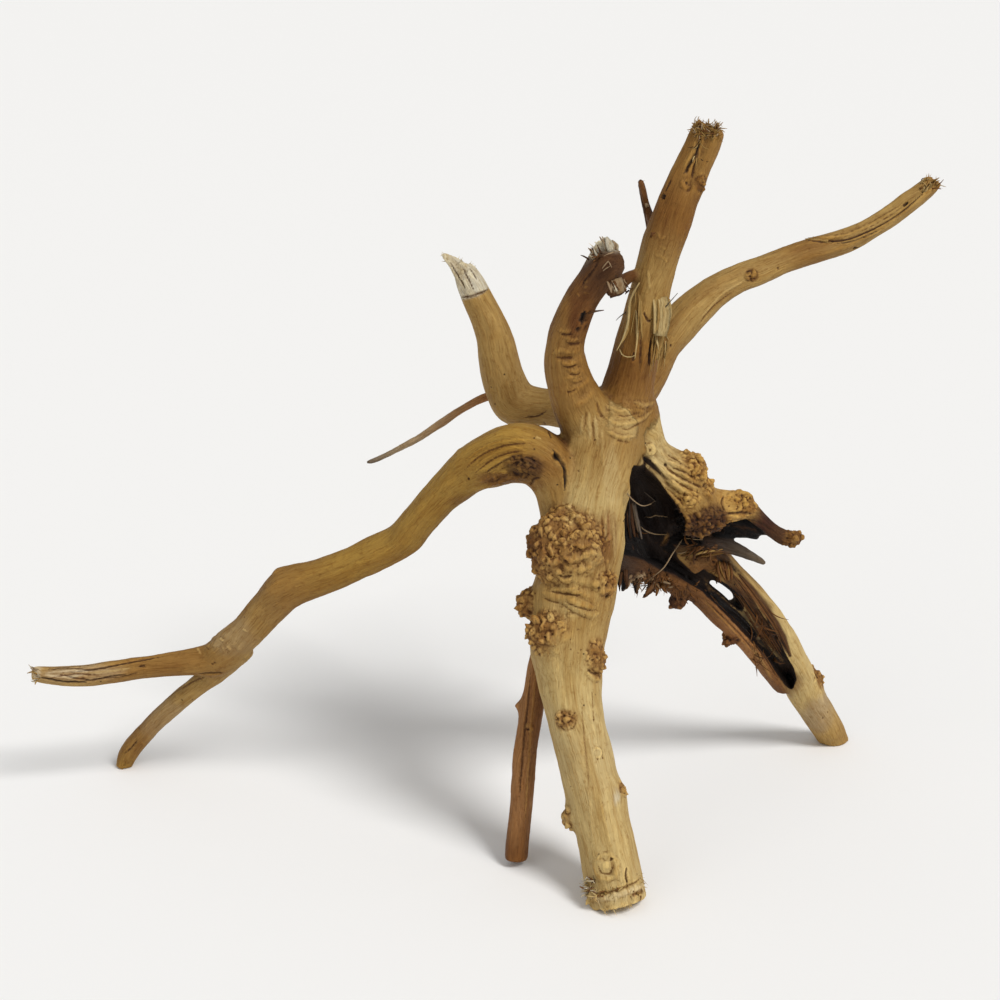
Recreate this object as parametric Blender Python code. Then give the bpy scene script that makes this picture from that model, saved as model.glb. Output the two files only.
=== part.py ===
"""Driftwood: one grown piece of branching root wood that stands on three of its ends."""
import math

import bmesh
import bpy
import numpy as np
from mathutils import Matrix, Vector, noise
from mathutils.bvhtree import BVHTree

# Values that set the look, in mm
MM = 0.001
TRIANGLES = 11300
LIMB_VOXEL = 1.1
HOLLOW_VOXEL = 0.8
SKIN_VOXEL = 1.0
SMOOTHING = 0.5
LIMB_SIDES = 26
LIMB_STEP = 2.2
THIN_STEP = 1.6
LATE_SIDES = 14
LATE_RELIEF = 1.3
HOLLOW_SIDES = 16
HOLLOW_RELIEF = 2.2
RIDGE_SIDES = 10
RIDGE_POINTS = 7
RIDGE_END = 0.5
FRONT = Vector((0, -1, 0))
END_DOME = 0.2
LEAST_RADIUS = 0.4

# Relief of a limb as shares of its radius, and its twist in radians per mm
FLUTE_DEPTH = 0.028
SWELL_DEPTH = 0.016
ROUGH_DEPTH = 0.07
FLUTE_TWIST = 0.011

# Burl knobs: how far they stand out from the swelling and how much their sizes vary
KNOB_LIFT = 1.03
KNOB_SCATTER = 0.05
KNOB_VARIATION = 0.34

# Splinters: share of the length and of the radius at each ring, flatness, root depth and thickness
SPLINTER_RINGS = ((0.0, 1.0), (0.45, 0.82), (0.8, 0.5), (1.0, 0.22))
SPLINTER_FLATNESS = 0.7
SPLINTER_ROOT = 3.0
SPLINTER_RADIUS = 1.7
SPLINTER_RIM = 0.78

# Trims: the saw-cut foot's plane, the box that trims it and the box that trims at the floor
SAW_CUT_POINT = (50, -84, 0)
SAW_CUT_NORMAL = (0.22, -0.36, -0.905)
SAW_CUT_BOX = (60, 60, 30)
FLOOR_BOX = (600, 400, 60)
FRAME_SHIFT = (-0.6, 2.9, 0)
WOOD_COLOUR = (0.402, 0.278, 0.125, 1.0)
WOOD_ROUGHNESS = 0.72

# Limbs: centre line stations x, y, z and radius in mm
LIMBS = {
    "trunk": [
        (61, -80, -6, 12.6), (59, -76, 5, 12.7), (55.2, -68, 22, 12.3), (50.4, -59, 39, 12.5),
        (45.4, -51, 57, 12.2), (41.4, -45, 73, 12.6), (39.4, -39, 86, 14.0), (38, -33, 102, 16.0),
        (41, -27, 119, 17.8), (44.4, -20, 137, 18.0), (47, -14, 155, 17.6), (51, -7, 173, 18.0),
        (55, -1, 187, 17.0), (57, 4, 196, 12.0),
    ],
    "tall stub": [
        (56, 0, 182, 15.6), (62, 3, 197, 12.0), (66, 5, 212, 10.4), (69, 7, 227, 9.7),
        (72, 8, 240, 8.9), (74.5, 9, 252, 8.8), (77.6, 10, 265, 8.9), (81.6, 11, 276, 8.7),
        (85.2, 13, 286, 8.2), (89.4, 15, 296, 7.8), (94, 17, 305, 7.6), (97, 18, 313, 7.3),
    ],
    "bent stub": [
        (51, -2, 183, 14.6), (45, -5, 195, 11.9), (40, -8, 207, 10.4), (37, -10, 218, 9.0),
        (36.5, -12, 228, 8.4), (39, -14, 238, 7.9), (43, -16, 248, 7.3), (47.5, -18, 256, 6.9),
        (52, -20, 261.5, 6.9), (56, -21, 264.5, 5.9), (59, -22, 266.5, 3.4),
    ],
    "back stub": [
        (60, 10, 188, 11.0), (53, 16, 189, 10.5), (40, 26, 188, 9.7), (29, 32, 187, 8.4),
        (17, 36, 187, 10.4), (12, 38, 194, 9.8), (9, 39, 205, 9.1), (7, 40, 216, 8.4),
        (3, 41, 226, 7.5), (-2, 42, 237, 6.6), (-5, 43, 243, 5.9), (-7, 44, 246, 4.2),
    ],
    "left arm": [
        (41, -18, 128, 9.5), (36, -17, 152, 9.0), (34, -16, 166, 10.0), (28, -15, 177, 12.0),
        (18, -13, 181, 13.2), (7, -10, 177, 12.2), (-3, -7, 171, 10.4), (-13, -4, 161, 8.4),
        (-23, -1, 149, 7.7), (-33, 3, 135, 8.3), (-44, 6, 128, 8.1), (-57, 9, 120, 7.9),
        (-71, 12, 113, 8.4), (-85, 15, 107, 9.6), (-95, 18, 96, 8.5), (-105, 21, 84, 8.0),
        (-115, 24, 74, 8.5), (-123, 26, 66, 7.6), (-128, 26, 65, 4.5),
    ],
    "left upper prong": [
        (-112, 25, 71, 7.2), (-122, 26, 66, 7.6), (-131, 25, 66, 6.5), (-143, 24, 65, 5.5),
        (-157, 22, 64, 5.2), (-170, 20, 63, 5.5), (-181, 18, 62, 5.2), (-194, 16, 63, 4.5),
        (-204, 14, 65, 3.6),
    ],
    "left lower prong": [
        (-108, 25, 74, 6.8), (-114, 27, 68, 6.5), (-123, 30, 58, 5.3), (-131, 33, 51, 5.0),
        (-143, 38, 39, 5.0), (-154, 42, 27, 4.7), (-164, 46, 15, 4.8), (-170, 48, 6, 4.6),
        (-173, 49, -2, 3.9),
    ],
    "right arm": [
        (60, 10, 190, 11.3), (64, 16, 195, 11.3), (73, 22, 205, 9.6), (80, 26, 217, 8.7),
        (88, 30, 226, 8.7), (96, 34, 233, 7.9), (105, 38, 239, 7.2), (115, 42, 243, 6.7),
        (126, 46, 246, 6.3), (135, 49, 249, 6.0), (145, 52, 252, 5.8), (155, 55, 254, 5.9),
        (166, 58, 257, 5.5), (180, 62, 264, 5.0), (192, 65, 272, 4.9), (199, 67, 277, 4.7),
        (203, 68, 280.5, 4.1),
    ],
    "shoulder": [
        (56, 0, 188, 15.0), (65, 8, 180, 12.6), (75, 10, 169, 11.2), (87, 12, 157, 12.4),
        (96, 14, 146, 11.6), (103, 16, 140, 9.0),
    ],
    "hub side": [
        (68, 4, 203, 6.4), (70, 6, 196, 7.3), (72, 6, 185, 8.0), (75, 8, 174, 7.4),
    ],
    "claw root": [
        (98, 14, 149, 7.6), (106, 17, 145.5, 7.4), (113, 19, 144, 6.6), (118, 21, 143, 5.4),
    ],
    "cavity side": [
        (63, 8, 164, 6.2), (64, 10, 151, 6.2), (64, 9, 137, 6.2), (64, 4, 125, 6.4),
    ],
    "cavity wall": [
        (60, 10, 186, 13.0), (66, 15, 176, 14.9), (71, 20, 161, 15.6), (77, 26, 141, 15.4),
        (82, 30, 122, 13.6), (88, 32, 108, 9.4),
    ],
    "hollow leg shell": [
        (89, 28, 125, 12.0), (101, 31, 116, 10.4), (112, 34, 106, 8.8), (122.5, 38, 95, 8.2),
        (132.5, 42, 82.5, 7.8), (140, 47, 70, 7.6), (147, 53, 56, 7.8), (153, 59, 43, 8.4),
    ],
    "leg web": [
        (91, 28, 115, 5.8), (97, 31, 109, 5.6), (103, 34, 103, 5.2), (112, 40, 92, 4.8),
        (121, 45, 82, 4.6), (129, 50, 72, 4.4), (137, 54, 61, 4.4), (145, 60, 47, 4.8),
        (151, 63, 36, 4.6),
    ],
    "right foot": [
        (150, 57, 46, 8.0), (157, 64, 33, 8.8), (163, 69, 22, 8.3), (170, 73, 10, 7.9),
        (175, 77, 0, 7.2), (178, 79, -6, 6.8),
    ],
    "back leg": [
        (46, -10, 130, 8.0), (36, -14, 108, 6.3), (29, -20, 92, 5.5), (25, -25, 75, 5.4),
        (22, -30, 58, 5.3), (20, -34, 46, 5.3), (19, -38, 28, 5.1), (17, -43, 11, 5.4),
        (16.6, -46, 2.3, 5.4),
    ],
}

# Limbs that are added after the hollows are cut
LATE_LIMBS = {
    "lower strand": [
        (74, 10, 117, 4.6), (79, 14, 115, 4.6), (88, 18, 109, 4.2), (99, 23, 100, 4.0),
        (110, 30, 86, 4.1), (121, 38, 73, 4.1), (129, 44, 62, 4.0), (138, 51, 49, 4.1),
        (146, 58, 37, 4.4),
    ],
    "cavity ledge": [
        (55, -8, 130, 7.0), (63, -1, 125, 6.6), (70, 6, 120, 5.8), (79, 13, 115, 5.2),
        (89, 18, 107, 5.0), (95, 21, 100, 3.2),
    ],
    "claw": [
        (112, 19, 145.5, 5.0), (118.5, 20, 143.5, 4.2), (124, 22, 139, 3.8),
        (129.4, 25, 133, 3.4), (134.6, 27, 128.2, 3.6), (140, 28, 125.6, 4.0), (145, 29.5, 125.4, 2.6),
        (147, 30, 125.2, 1.6),
    ],
    "black prong": [
        (92, 24, 130, 5.0), (98, 26, 131, 4.8), (109, 26, 131.5, 4.4), (117, 28, 129.4, 3.8),
        (123, 30, 127, 2.5), (127, 31, 124, 1.4),
    ],
    "claw underside": [
        (104, 22, 141, 4.6), (111, 25, 137.5, 4.2), (118.5, 27, 134.4, 3.4), (124, 28, 131, 2.8),
        (129, 28, 128, 1.8),
    ],
    "grey prong": [
        (86, 18, 128, 4.6), (95, 18, 127, 4.4), (106, 20, 126, 3.9), (116, 22, 122.8, 3.1),
        (123, 23, 119, 2.3), (130, 24, 115, 1.4),
    ],
    "thin root": [
        (22, 42, 190, 3.6), (15, 47, 189.5, 2.8), (3, 52, 185, 2.2), (-6, 54, 180, 2.1),
        (-18, 56, 171, 2.1), (-29, 58, 163, 1.8), (-39, 60, 157, 1.7), (-46, 61, 153, 1.6),
        (-53, 62, 150, 1.3),
    ],
    "twig": [
        (77, 16, 262, 3.4), (74, 21, 270, 2.7), (72.6, 24, 275.8, 2.1), (70.8, 24, 281.5, 1.8),
        (69.6, 24, 287, 1.8), (68.8, 24, 290.3, 1.6),
    ],
    "torn strip 1": [(92, 21, 128, 4.0), (95, 20, 122, 3.6), (98, 20, 117, 2.8), (100, 21, 113, 1.6)],
    "torn strip 2": [(98, 24, 127, 4.2), (104, 24, 120, 3.6), (110, 26, 112, 2.6), (113, 27, 106, 1.5)],
    "torn strip 3": [(88, 18, 124, 3.8), (93, 19, 118, 3.0), (98, 20, 112, 1.8)],
    "ledge shred 1": [(66, -1, 123, 3.0), (65, -2, 117, 2.0), (63, -3, 112, 1.1)],
    "ledge shred 2": [(80, 12, 113, 3.0), (77, 12, 107, 2.0), (73, 11, 103, 1.1)],
    "ledge shred 3": [(72, 4, 119, 2.8), (70, 2, 113, 1.7), (70, 1, 109, 1.0)],
    "bark scrap": [
        (68, 7, 253, 2.4), (63.8, 3, 253.2, 2.6), (59.2, -4, 252, 3.2), (56, -8, 249.4, 2.6),
        (54, -12, 252, 1.6),
    ],
    "bleached flake 1": [
        (46, -17, 261, 3.4), (48.5, -17, 266.8, 2.8), (49.8, -18, 271.5, 1.9), (50.2, -18, 274, 1.2),
    ],
    "bleached flake 2": [
        (50, -18, 266, 3.0), (53, -18, 271, 2.2), (56, -19, 270.4, 2.0), (58, -20, 267.5, 1.6),
    ],
    "arm spur": [(-5, -6, 174, 3.6), (-7.5, -6, 178.6, 2.0), (-8.5, -6, 180, 1.2)],
    "back leg spur": [(21, -27, 69, 3.0), (18, -27, 68.4, 2.2), (16, -27, 68, 1.4)],
    "groove tongue": [(156, 53, 258.4, 2.4), (150, 51, 257.4, 1.8), (143, 49, 256.4, 1.0)],
}

# Bodies that are cut away: centre line stations of each hollow
HOLLOWS = {
    "shoulder cavity": [
        (64, -16, 172, 4.0), (69, -6, 163, 8.0), (74, 0, 152, 11.0), (78, 4, 141, 12.0),
        (80, 6, 131, 9.5), (80, 4, 125, 6.0),
    ],
    "cavity mouth": [
        (66, -26, 170, 4.0), (70, -20, 156, 9.0), (74, -16, 143, 12.0), (78, -12, 132, 8.0),
    ],
    "leg trough": [
        (84, 12, 117, 7.0), (94, 16, 112, 8.0), (106, 19, 104, 8.0), (117, 25, 93, 7.6),
        (127, 31, 80, 7.4), (134, 38, 67, 7.0), (141, 45, 54, 6.2), (147, 51, 44, 4.4),
    ],
    "trough pit": [(141, 46, 52, 5.0), (146, 54, 43, 4.6), (149, 58, 39, 3.0)],
    "arm groove": [
        (152, 50.5, 257.6, 1.0), (157, 51, 259, 1.8), (166, 53.6, 261.4, 2.3), (180, 58, 268, 2.3),
        (192, 61, 276, 2.2), (199, 63.4, 281, 2.4), (206, 66, 286, 2.8),
    ],
    "bent stub scoop": [
        (45, -26, 255, 1.8), (50, -28, 260.5, 3.2), (55, -29.5, 264.5, 3.6), (62, -31, 268, 3.4),
    ],
    "bent stub knot hole": [(52, -22, 234, 3.4), (47, -19, 236, 2.8), (44, -17, 237, 1.6)],
    "tall stub crack": [
        (87, 7, 286, 1.0), (89, 7, 293, 1.9), (92.5, 8.6, 301, 2.1), (95, 9.6, 309, 2.4), (97, 11, 318, 3.0),
    ],
    "tall stub hole": [(74, 2, 285, 2.4), (79, 6.5, 284, 1.8)],
    "arm crack": [
        (38, -32, 160, 1.2), (39.5, -29, 168, 2.3), (38.5, -26, 176, 2.4), (37, -23, 184, 1.8),
        (36, -19, 190, 1.2),
    ],
    "foot crack": [(64, -84, 21, 1.0), (64.5, -87, 12, 1.6), (65.5, -89.5, 3, 1.8), (66.5, -91, -6, 1.8)],
    "left prong split": [
        (-176, 13, 66, 1.0), (-184, 12, 66, 1.8), (-194, 10, 67, 1.9), (-206, 8, 69, 2.2),
    ],
}

# Slots cut right through along the view: centre, half length along, half depth, half width
LEG_GAP_CENTRE = (112, 36, 96.4)
LEG_GAP_ALONG = (19.8, 10, -20.1)
LEG_GAP_DEPTH = (0, -0.94, 0.34)
LEG_GAP_HALF_SIZES = (13.5, 26.0, 2.6)

# Raised strands: the centre line that each follows, the stations and the angles in degrees that it
# runs from and to, and its radius. Angle 0 faces the front; a positive angle turns to the right on a
# limb that grows upwards.
RIDGES = {
    "fold 1": ("trunk", (8.50, 8.36), (-28, 34), 1.7),
    "fold 2": ("trunk", (8.24, 8.12), (-24, 30), 1.6),
    "fold 3": ("trunk", (8.02, 7.90), (-18, 20), 1.3),
    "shoulder flute 1": ("shoulder", (1.3, 4.0), (-66, -48), 1.4),
    "shoulder flute 2": ("shoulder", (1.2, 3.9), (-42, -26), 1.5),
    "shoulder flute 3": ("shoulder", (1.3, 3.7), (-18, -8), 1.6),
    "shoulder flute 4": ("shoulder", (1.6, 3.4), (8, 14), 1.4),
    "bent stub wrinkle 1": ("bent stub", (1.85, 1.95), (-8, 58), 1.4),
    "bent stub wrinkle 2": ("bent stub", (2.35, 2.45), (-4, 60), 1.4),
    "bent stub wrinkle 3": ("bent stub", (2.90, 2.96), (-10, 56), 1.3),
    "bent stub wrinkle 4": ("bent stub", (3.45, 3.52), (-6, 60), 1.3),
    "bent stub wrinkle 5": ("bent stub", (4.05, 4.12), (-2, 52), 1.2),
    "tall stub strip 1": ("tall stub", (4.3, 2.1), (-42, -34), 1.1),
    "tall stub strip 2": ("tall stub", (4.5, 1.9), (-14, -8), 1.1),
    "tall stub strip 3": ("tall stub", (4.1, 1.8), (20, 14), 1.2),
    "tall stub strip 4": ("tall stub", (4.6, 2.0), (52, 40), 1.4),
    "hub wrinkle 1": ("tall stub", (1.20, 1.05), (-24, 52), 1.5),
    "hub wrinkle 2": ("tall stub", (0.86, 0.74), (-20, 46), 1.4),
    "left arm flute 1": ("left arm", (6.2, 2.8), (-40, -34), 1.5),
    "left arm flute 2": ("left arm", (5.8, 3.0), (-18, -10), 1.4),
    "left arm flute 3": ("left arm", (5.4, 3.2), (4, 12), 1.2),
    "trough fibre 1": ("leg trough", (1.4, 6.6), (150, 156), 1.4),
    "trough fibre 2": ("leg trough", (3.2, 6.8), (190, 182), 1.2),
    "trough fibre 3": ("leg trough", (1.8, 6.4), (222, 212), 1.3),
    "cavity fibre 1": ("shoulder cavity", (1.6, 4.2), (138, 150), 1.6),
    "cavity fibre 2": ("shoulder cavity", (1.8, 4.0), (176, 190), 1.4),
    "left prong ridge": ("left upper prong", (4.0, 7.8), (8, 16), 0.9),
    "right arm ridge": ("right arm", (10.0, 15.4), (6, 2), 1.0),
}

# Burls: name, centre, half sizes, facing, knob radius, number of knobs
BURLS = [
    ("main burl", (37, -31.5, 144.5), (14.8, 9.4, 14.4), (-0.20, -0.93, 0.28), 2.3, 54),
    ("burl collar", (40, -32, 126), (15.0, 7.0, 4.6), (0.1, -0.97, 0.1), 1.8, 10),
    ("cluster", (52, -34, 129), (6.2, 5.4, 5.8), (0.5, -0.8, 0.2), 1.7, 15),
    ("left bump", (21, -29, 118), (4.6, 4.6, 6.4), (-0.8, -0.6, 0.1), 1.5, 12),
    ("lower burl", (30, -43, 110), (8.8, 5.4, 8.6), (-0.3, -0.9, 0.3), 1.9, 26),
    ("side knot", (49, -43, 98), (5.4, 4.6, 8.0), (0.5, -0.85, 0.1), 1.6, 18),
    ("middle knot", (38, -54, 75), (4.2, 3.6, 4.6), (-0.2, -0.9, 0.2), 1.4, 12),
    ("small ring", (50, -59, 62), (2.4, 2.6, 2.6), (0.3, -0.9, 0.2), 0.9, 7),
    ("right edge bump", (60, -60, 44), (3.4, 3.4, 4.6), (0.9, -0.3, 0.1), 1.2, 9),
    ("left edge bump", (40, -62.5, 33), (4.0, 4.0, 5.4), (-0.9, -0.4, 0.1), 1.4, 10),
    ("ring knot", (54, -79, 19), (5.6, 3.4, 5.2), (0.0, -0.9, 0.3), 1.4, 14),
    ("top shoulder burl", (92.5, 8, 166.5), (7.0, 6.4, 6.2), (0.4, -0.6, 0.7), 1.8, 24),
    ("shoulder ridge burl", (99, 9, 157.5), (4.4, 4.6, 4.6), (0.5, -0.8, 0.4), 1.4, 12),
    ("claw burl", (114, 20, 145), (9.2, 6.0, 5.0), (0.3, -0.6, 0.7), 1.7, 28),
    ("front shoulder burl", (90, 3, 154), (5.6, 4.6, 5.6), (0.1, -0.95, 0.3), 1.6, 16),
    ("dark mass", (96, 6, 143), (12.0, 6.4, 6.4), (0.1, -0.97, -0.1), 1.9, 40),
    ("dark mass edge", (84, 3, 147), (6.0, 4.2, 5.6), (-0.1, -0.98, -0.1), 1.6, 16),
    ("ring bump", (74, -2, 178), (2.6, 2.2, 2.6), (0.1, -0.9, 0.4), 0.9, 6),
    ("strand knot", (90, 19, 99), (4.2, 3.8, 3.4), (-0.4, -0.6, -0.6), 1.4, 11),
    ("strand bump", (116, 35, 73), (4.0, 3.4, 3.0), (-0.5, -0.5, -0.7), 1.2, 10),
    ("foot knot", (160.5, 64, 39), (5.0, 5.0, 5.8), (0.7, -0.5, 0.5), 1.5, 12),
    ("claw knob", (141.5, 27.5, 126), (4.4, 3.8, 3.8), (0.6, -0.7, 0.2), 1.3, 14),
    ("elbow bump", (-88, 16, 112), (5.0, 5.0, 5.0), (-0.4, -0.1, 0.9), 1.2, 5),
    ("tall stub knot", (93, 9, 291.5), (2.6, 2.4, 3.2), (0.3, -0.9, 0.2), 0.9, 6),
    ("right arm knot", (119, 39, 245), (3.0, 3.0, 2.6), (0.0, -0.8, 0.6), 0.9, 5),
]

# Torn ends: rim centre, direction of the limb, rim radius, spike length, number of spikes
TORN_ENDS = [
    ("tall stub end", (97.5, 18.2, 313.6), (0.34, 0.10, 0.94), 6.2, 2.4, 12),
    ("left prong end", (-202, 14.5, 64.5), (-0.95, -0.25, 0.15), 2.6, 5.0, 7),
    ("right arm end", (201, 67.4, 278.6), (0.78, 0.25, 0.57), 3.4, 4.6, 8),
    ("right foot edge", (157, 62, 37), (-0.3, -0.7, 0.3), 4.0, 3.4, 6),
    ("front foot fray", (52, -83, 4), (-0.35, -0.45, -0.80), 6.0, 5.0, 7),
]

# Bleached broken tip: each spike from, to, start radius
TIP_SPIKES = [
    ((-6, 44, 243), (-17.4, 44, 255), 3.4), ((-5, 46, 245), (-12.4, 45, 253.4), 2.8),
    ((-4, 42, 245), (-8, 42, 251.4), 3.0), ((-2, 43, 243), (-3.4, 43, 249.8), 3.2),
    ((0, 45, 240), (-1, 44, 247), 3.0), ((-7, 41, 243), (-14, 42, 251), 2.4),
]


def curve_at(stations, place):
    """A point of the Catmull-Rom curve; place 2.5 is halfway between stations 2 and 3."""
    points = np.array(stations, dtype=float)
    padded = np.vstack([2 * points[0] - points[1], points, 2 * points[-1] - points[-2]])
    i = min(int(place), len(points) - 2)
    t = place - i
    p0, p1, p2, p3 = padded[i:i + 4]
    return 0.5 * (2 * p1 + (p2 - p0) * t + (2 * p0 - 5 * p1 + 4 * p2 - p3) * t ** 2
                  + (3 * p1 - p0 - 3 * p2 + p3) * t ** 3)


def curve_points(stations, step):
    """The curve through the stations, sampled every step mm."""
    result = []
    for i, (low, high) in enumerate(zip(stations[:-1], stations[1:])):
        count = max(1, round((Vector(high[:3]) - Vector(low[:3])).length / step))
        result.extend(curve_at(stations, i + k / count) for k in range(count))
    result.append(np.array(stations[-1], dtype=float))
    return result


def limb_relief(angle, along, seed, strength):
    """Radius factor of a grown limb: long twisted flutes and slow swellings."""
    twist = along * FLUTE_TWIST
    flutes = math.sin(3 * (angle + twist) + seed) + 0.6 * math.sin(5 * (angle + twist * 1.3) + 2.1 * seed)
    swell = math.sin(along * 0.11 + 1.7 * seed) + 0.6 * math.sin(along * 0.27 + seed)
    rough = noise.noise(Vector((math.cos(angle) * 1.3, math.sin(angle) * 1.3, along * 0.09 + 7 * seed)))
    return 1 + strength * (FLUTE_DEPTH * flutes + SWELL_DEPTH * swell + ROUGH_DEPTH * rough)


def add_tube(bm, stations, seed, strength=1.0, sides=LIMB_SIDES, step=LIMB_STEP):
    """A closed limb along the stations with rounded ends."""
    path = curve_points(stations, step)
    centres = [Vector(p[:3]) for p in path]
    radii = [max(p[3], LEAST_RADIUS) for p in path]
    tangents = [(centres[min(i + 1, len(path) - 1)] - centres[max(i - 1, 0)]).normalized()
                for i in range(len(path))]
    side = tangents[0].orthogonal().normalized()
    rings = []
    along = 0.0
    for i, (centre, radius, tangent) in enumerate(zip(centres, radii, tangents)):
        along += (centre - centres[i - 1]).length if i else 0.0
        side = (side - tangent * side.dot(tangent)).normalized()
        up = tangent.cross(side)
        ring = []
        for k in range(sides):
            angle = 2 * math.pi * k / sides
            size = radius * limb_relief(angle, along, seed, strength)
            spot = centre + side * (math.cos(angle) * size) + up * (math.sin(angle) * size)
            ring.append(bm.verts.new(spot * MM))
        rings.append(ring)
    for low, high in zip(rings[:-1], rings[1:]):
        for k in range(sides):
            nxt = (k + 1) % sides
            bm.faces.new((low[k], low[nxt], high[nxt], high[k]))
    first = bm.verts.new((centres[0] - tangents[0] * radii[0] * END_DOME) * MM)
    last = bm.verts.new((centres[-1] + tangents[-1] * radii[-1] * END_DOME) * MM)
    for k in range(sides):
        nxt = (k + 1) % sides
        bm.faces.new((rings[0][nxt], rings[0][k], first))
        bm.faces.new((rings[-1][k], rings[-1][nxt], last))


def add_ridge(bm, skin, stations, span, turn, radius, seed):
    """A strand that lies half sunk in the skin, beside the centre line of a limb or hollow."""
    path = []
    for k in range(RIDGE_POINTS):
        share = k / (RIDGE_POINTS - 1)
        place = span[0] + (span[1] - span[0]) * share
        angle = math.radians(turn[0] + (turn[1] - turn[0]) * share)
        centre = curve_at(stations, place)
        ahead = curve_at(stations, place + 0.05) - curve_at(stations, place - 0.05)
        tangent = Vector(ahead[:3]).normalized()
        front = (FRONT - tangent * FRONT.dot(tangent)).normalized()
        out = front * math.cos(angle) + tangent.cross(front) * math.sin(angle)
        spot = skin.find_nearest((Vector(centre[:3]) + out * centre[3]) * MM)[0] / MM
        path.append((*spot, radius * (RIDGE_END if k in (0, RIDGE_POINTS - 1) else 1)))
    add_tube(bm, path, seed, LATE_RELIEF, RIDGE_SIDES, THIN_STEP)


def add_ball(bm, centre, half_sizes, turn, detail):
    """A closed ellipsoid with its axes turned by the given matrix."""
    matrix = (Matrix.Translation(Vector(centre) * MM) @ turn
              @ Matrix.Diagonal((half_sizes[0] * MM, half_sizes[1] * MM, half_sizes[2] * MM, 1)))
    bmesh.ops.create_icosphere(bm, subdivisions=detail, radius=1.0, matrix=matrix)
    return matrix


def add_burl(bm, centre, half_sizes, facing, knob, count, seed):
    """A swelling with knobs that spiral out from the middle of its face."""
    turned = Vector(facing).to_track_quat("-Y", "Z").to_matrix().to_4x4()
    matrix = add_ball(bm, centre, half_sizes, turned, detail=3)
    golden = math.pi * (3 - math.sqrt(5))
    for k in range(count):
        reach = math.acos(1 - (k + 0.5) / count)
        turn = golden * k + seed
        wobble = noise.noise(Vector((k * 0.73, seed * 1.9, 0.4)))
        spot = Vector((math.sin(reach) * math.cos(turn), -math.cos(reach), math.sin(reach) * math.sin(turn)))
        size = knob * (1 + KNOB_VARIATION * wobble)
        place = matrix @ (spot * (KNOB_LIFT + KNOB_SCATTER * wobble))
        add_ball(bm, place / MM, (size, size, size), Matrix.Identity(4), detail=2)


def add_slot(bm, centre, along, depth, half_sizes):
    """A closed flat ellipsoid that cuts a slit with the given length, depth and width."""
    first = Vector(along).normalized()
    second = (Vector(depth) - first * first.dot(Vector(depth))).normalized()
    third = first.cross(second)
    turn = Matrix((first, second, third)).transposed().to_4x4()
    add_ball(bm, centre, half_sizes, turn, detail=4)


def add_spike(bm, start, end, radius, sides=5):
    """A closed splinter that narrows to a thin flat point."""
    start = Vector(start)
    end = Vector(end)
    axis = (end - start).normalized()
    side = axis.orthogonal().normalized()
    up = axis.cross(side)
    rings = []
    for t, share in SPLINTER_RINGS:
        centre = start.lerp(end, t)
        size = radius * share
        ring = []
        for k in range(sides):
            angle = 2 * math.pi * k / sides
            offset = side * math.cos(angle) * size + up * math.sin(angle) * size * SPLINTER_FLATNESS
            ring.append(bm.verts.new((centre + offset) * MM))
        rings.append(ring)
    for low, high in zip(rings[:-1], rings[1:]):
        for k in range(sides):
            nxt = (k + 1) % sides
            bm.faces.new((low[k], low[nxt], high[nxt], high[k]))
    bm.faces.new(list(reversed(rings[0])))
    bm.faces.new(rings[-1])


def add_torn_end(bm, centre, direction, radius, length, count, seed):
    """Uneven splinters round the rim of a broken end."""
    axis = Vector(direction).normalized()
    side = axis.orthogonal().normalized()
    up = axis.cross(side)
    for k in range(count):
        angle = 2 * math.pi * k / count + seed
        wobble = noise.noise(Vector((k * 1.37, seed * 2.3, 1.1)))
        out = side * math.cos(angle) + up * math.sin(angle)
        base = Vector(centre) + out * radius * SPLINTER_RIM - axis * SPLINTER_ROOT
        tip = base + axis * (SPLINTER_ROOT + length * (0.65 + 1.1 * wobble)) + out * (0.5 + wobble)
        add_spike(bm, base, tip, SPLINTER_RADIUS + 0.5 * wobble)


def object_from(bm, name):
    """A mesh object made from the shells in bm."""
    bmesh.ops.recalc_face_normals(bm, faces=bm.faces[:])
    mesh = bpy.data.meshes.new(name)
    bm.to_mesh(mesh)
    bm.free()
    result = bpy.data.objects.new(name, mesh)
    bpy.context.scene.collection.objects.link(result)
    return result


def bake(piece):
    """Makes the modifiers of the piece into its mesh."""
    bpy.context.view_layer.update()
    graph = bpy.context.evaluated_depsgraph_get()
    mesh = bpy.data.meshes.new_from_object(piece.evaluated_get(graph))
    piece.modifiers.clear()
    piece.data = mesh


def fuse(piece, voxel):
    """One outer skin round all shells of the piece."""
    remesh = piece.modifiers.new("fuse", "REMESH")
    remesh.mode = "VOXEL"
    remesh.voxel_size = voxel * MM
    remesh.adaptivity = 0.0
    bake(piece)


def cut(piece, cutter, solver):
    """Takes the cutter away from the piece."""
    cutter.hide_render = True
    cutter.display_type = "WIRE"
    boolean = piece.modifiers.new("cut", "BOOLEAN")
    boolean.operation = "DIFFERENCE"
    boolean.solver = solver
    boolean.object = cutter
    bake(piece)
    bpy.data.objects.remove(cutter)


def keep_main_shell(piece):
    """Removes crumbs: every shell but the one with the most faces."""
    bm = bmesh.new()
    bm.from_mesh(piece.data)
    shells = []
    seen = set()
    for start in bm.verts:
        if start in seen:
            continue
        shell = [start]
        seen.add(start)
        for vert in shell:
            for edge in vert.link_edges:
                other = edge.other_vert(vert)
                if other not in seen:
                    seen.add(other)
                    shell.append(other)
        shells.append(shell)
    shells.sort(key=len)
    crumbs = [vert for shell in shells[:-1] for vert in shell]
    bmesh.ops.delete(bm, geom=crumbs, context="VERTS")
    bm.to_mesh(piece.data)
    bm.free()


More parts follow.
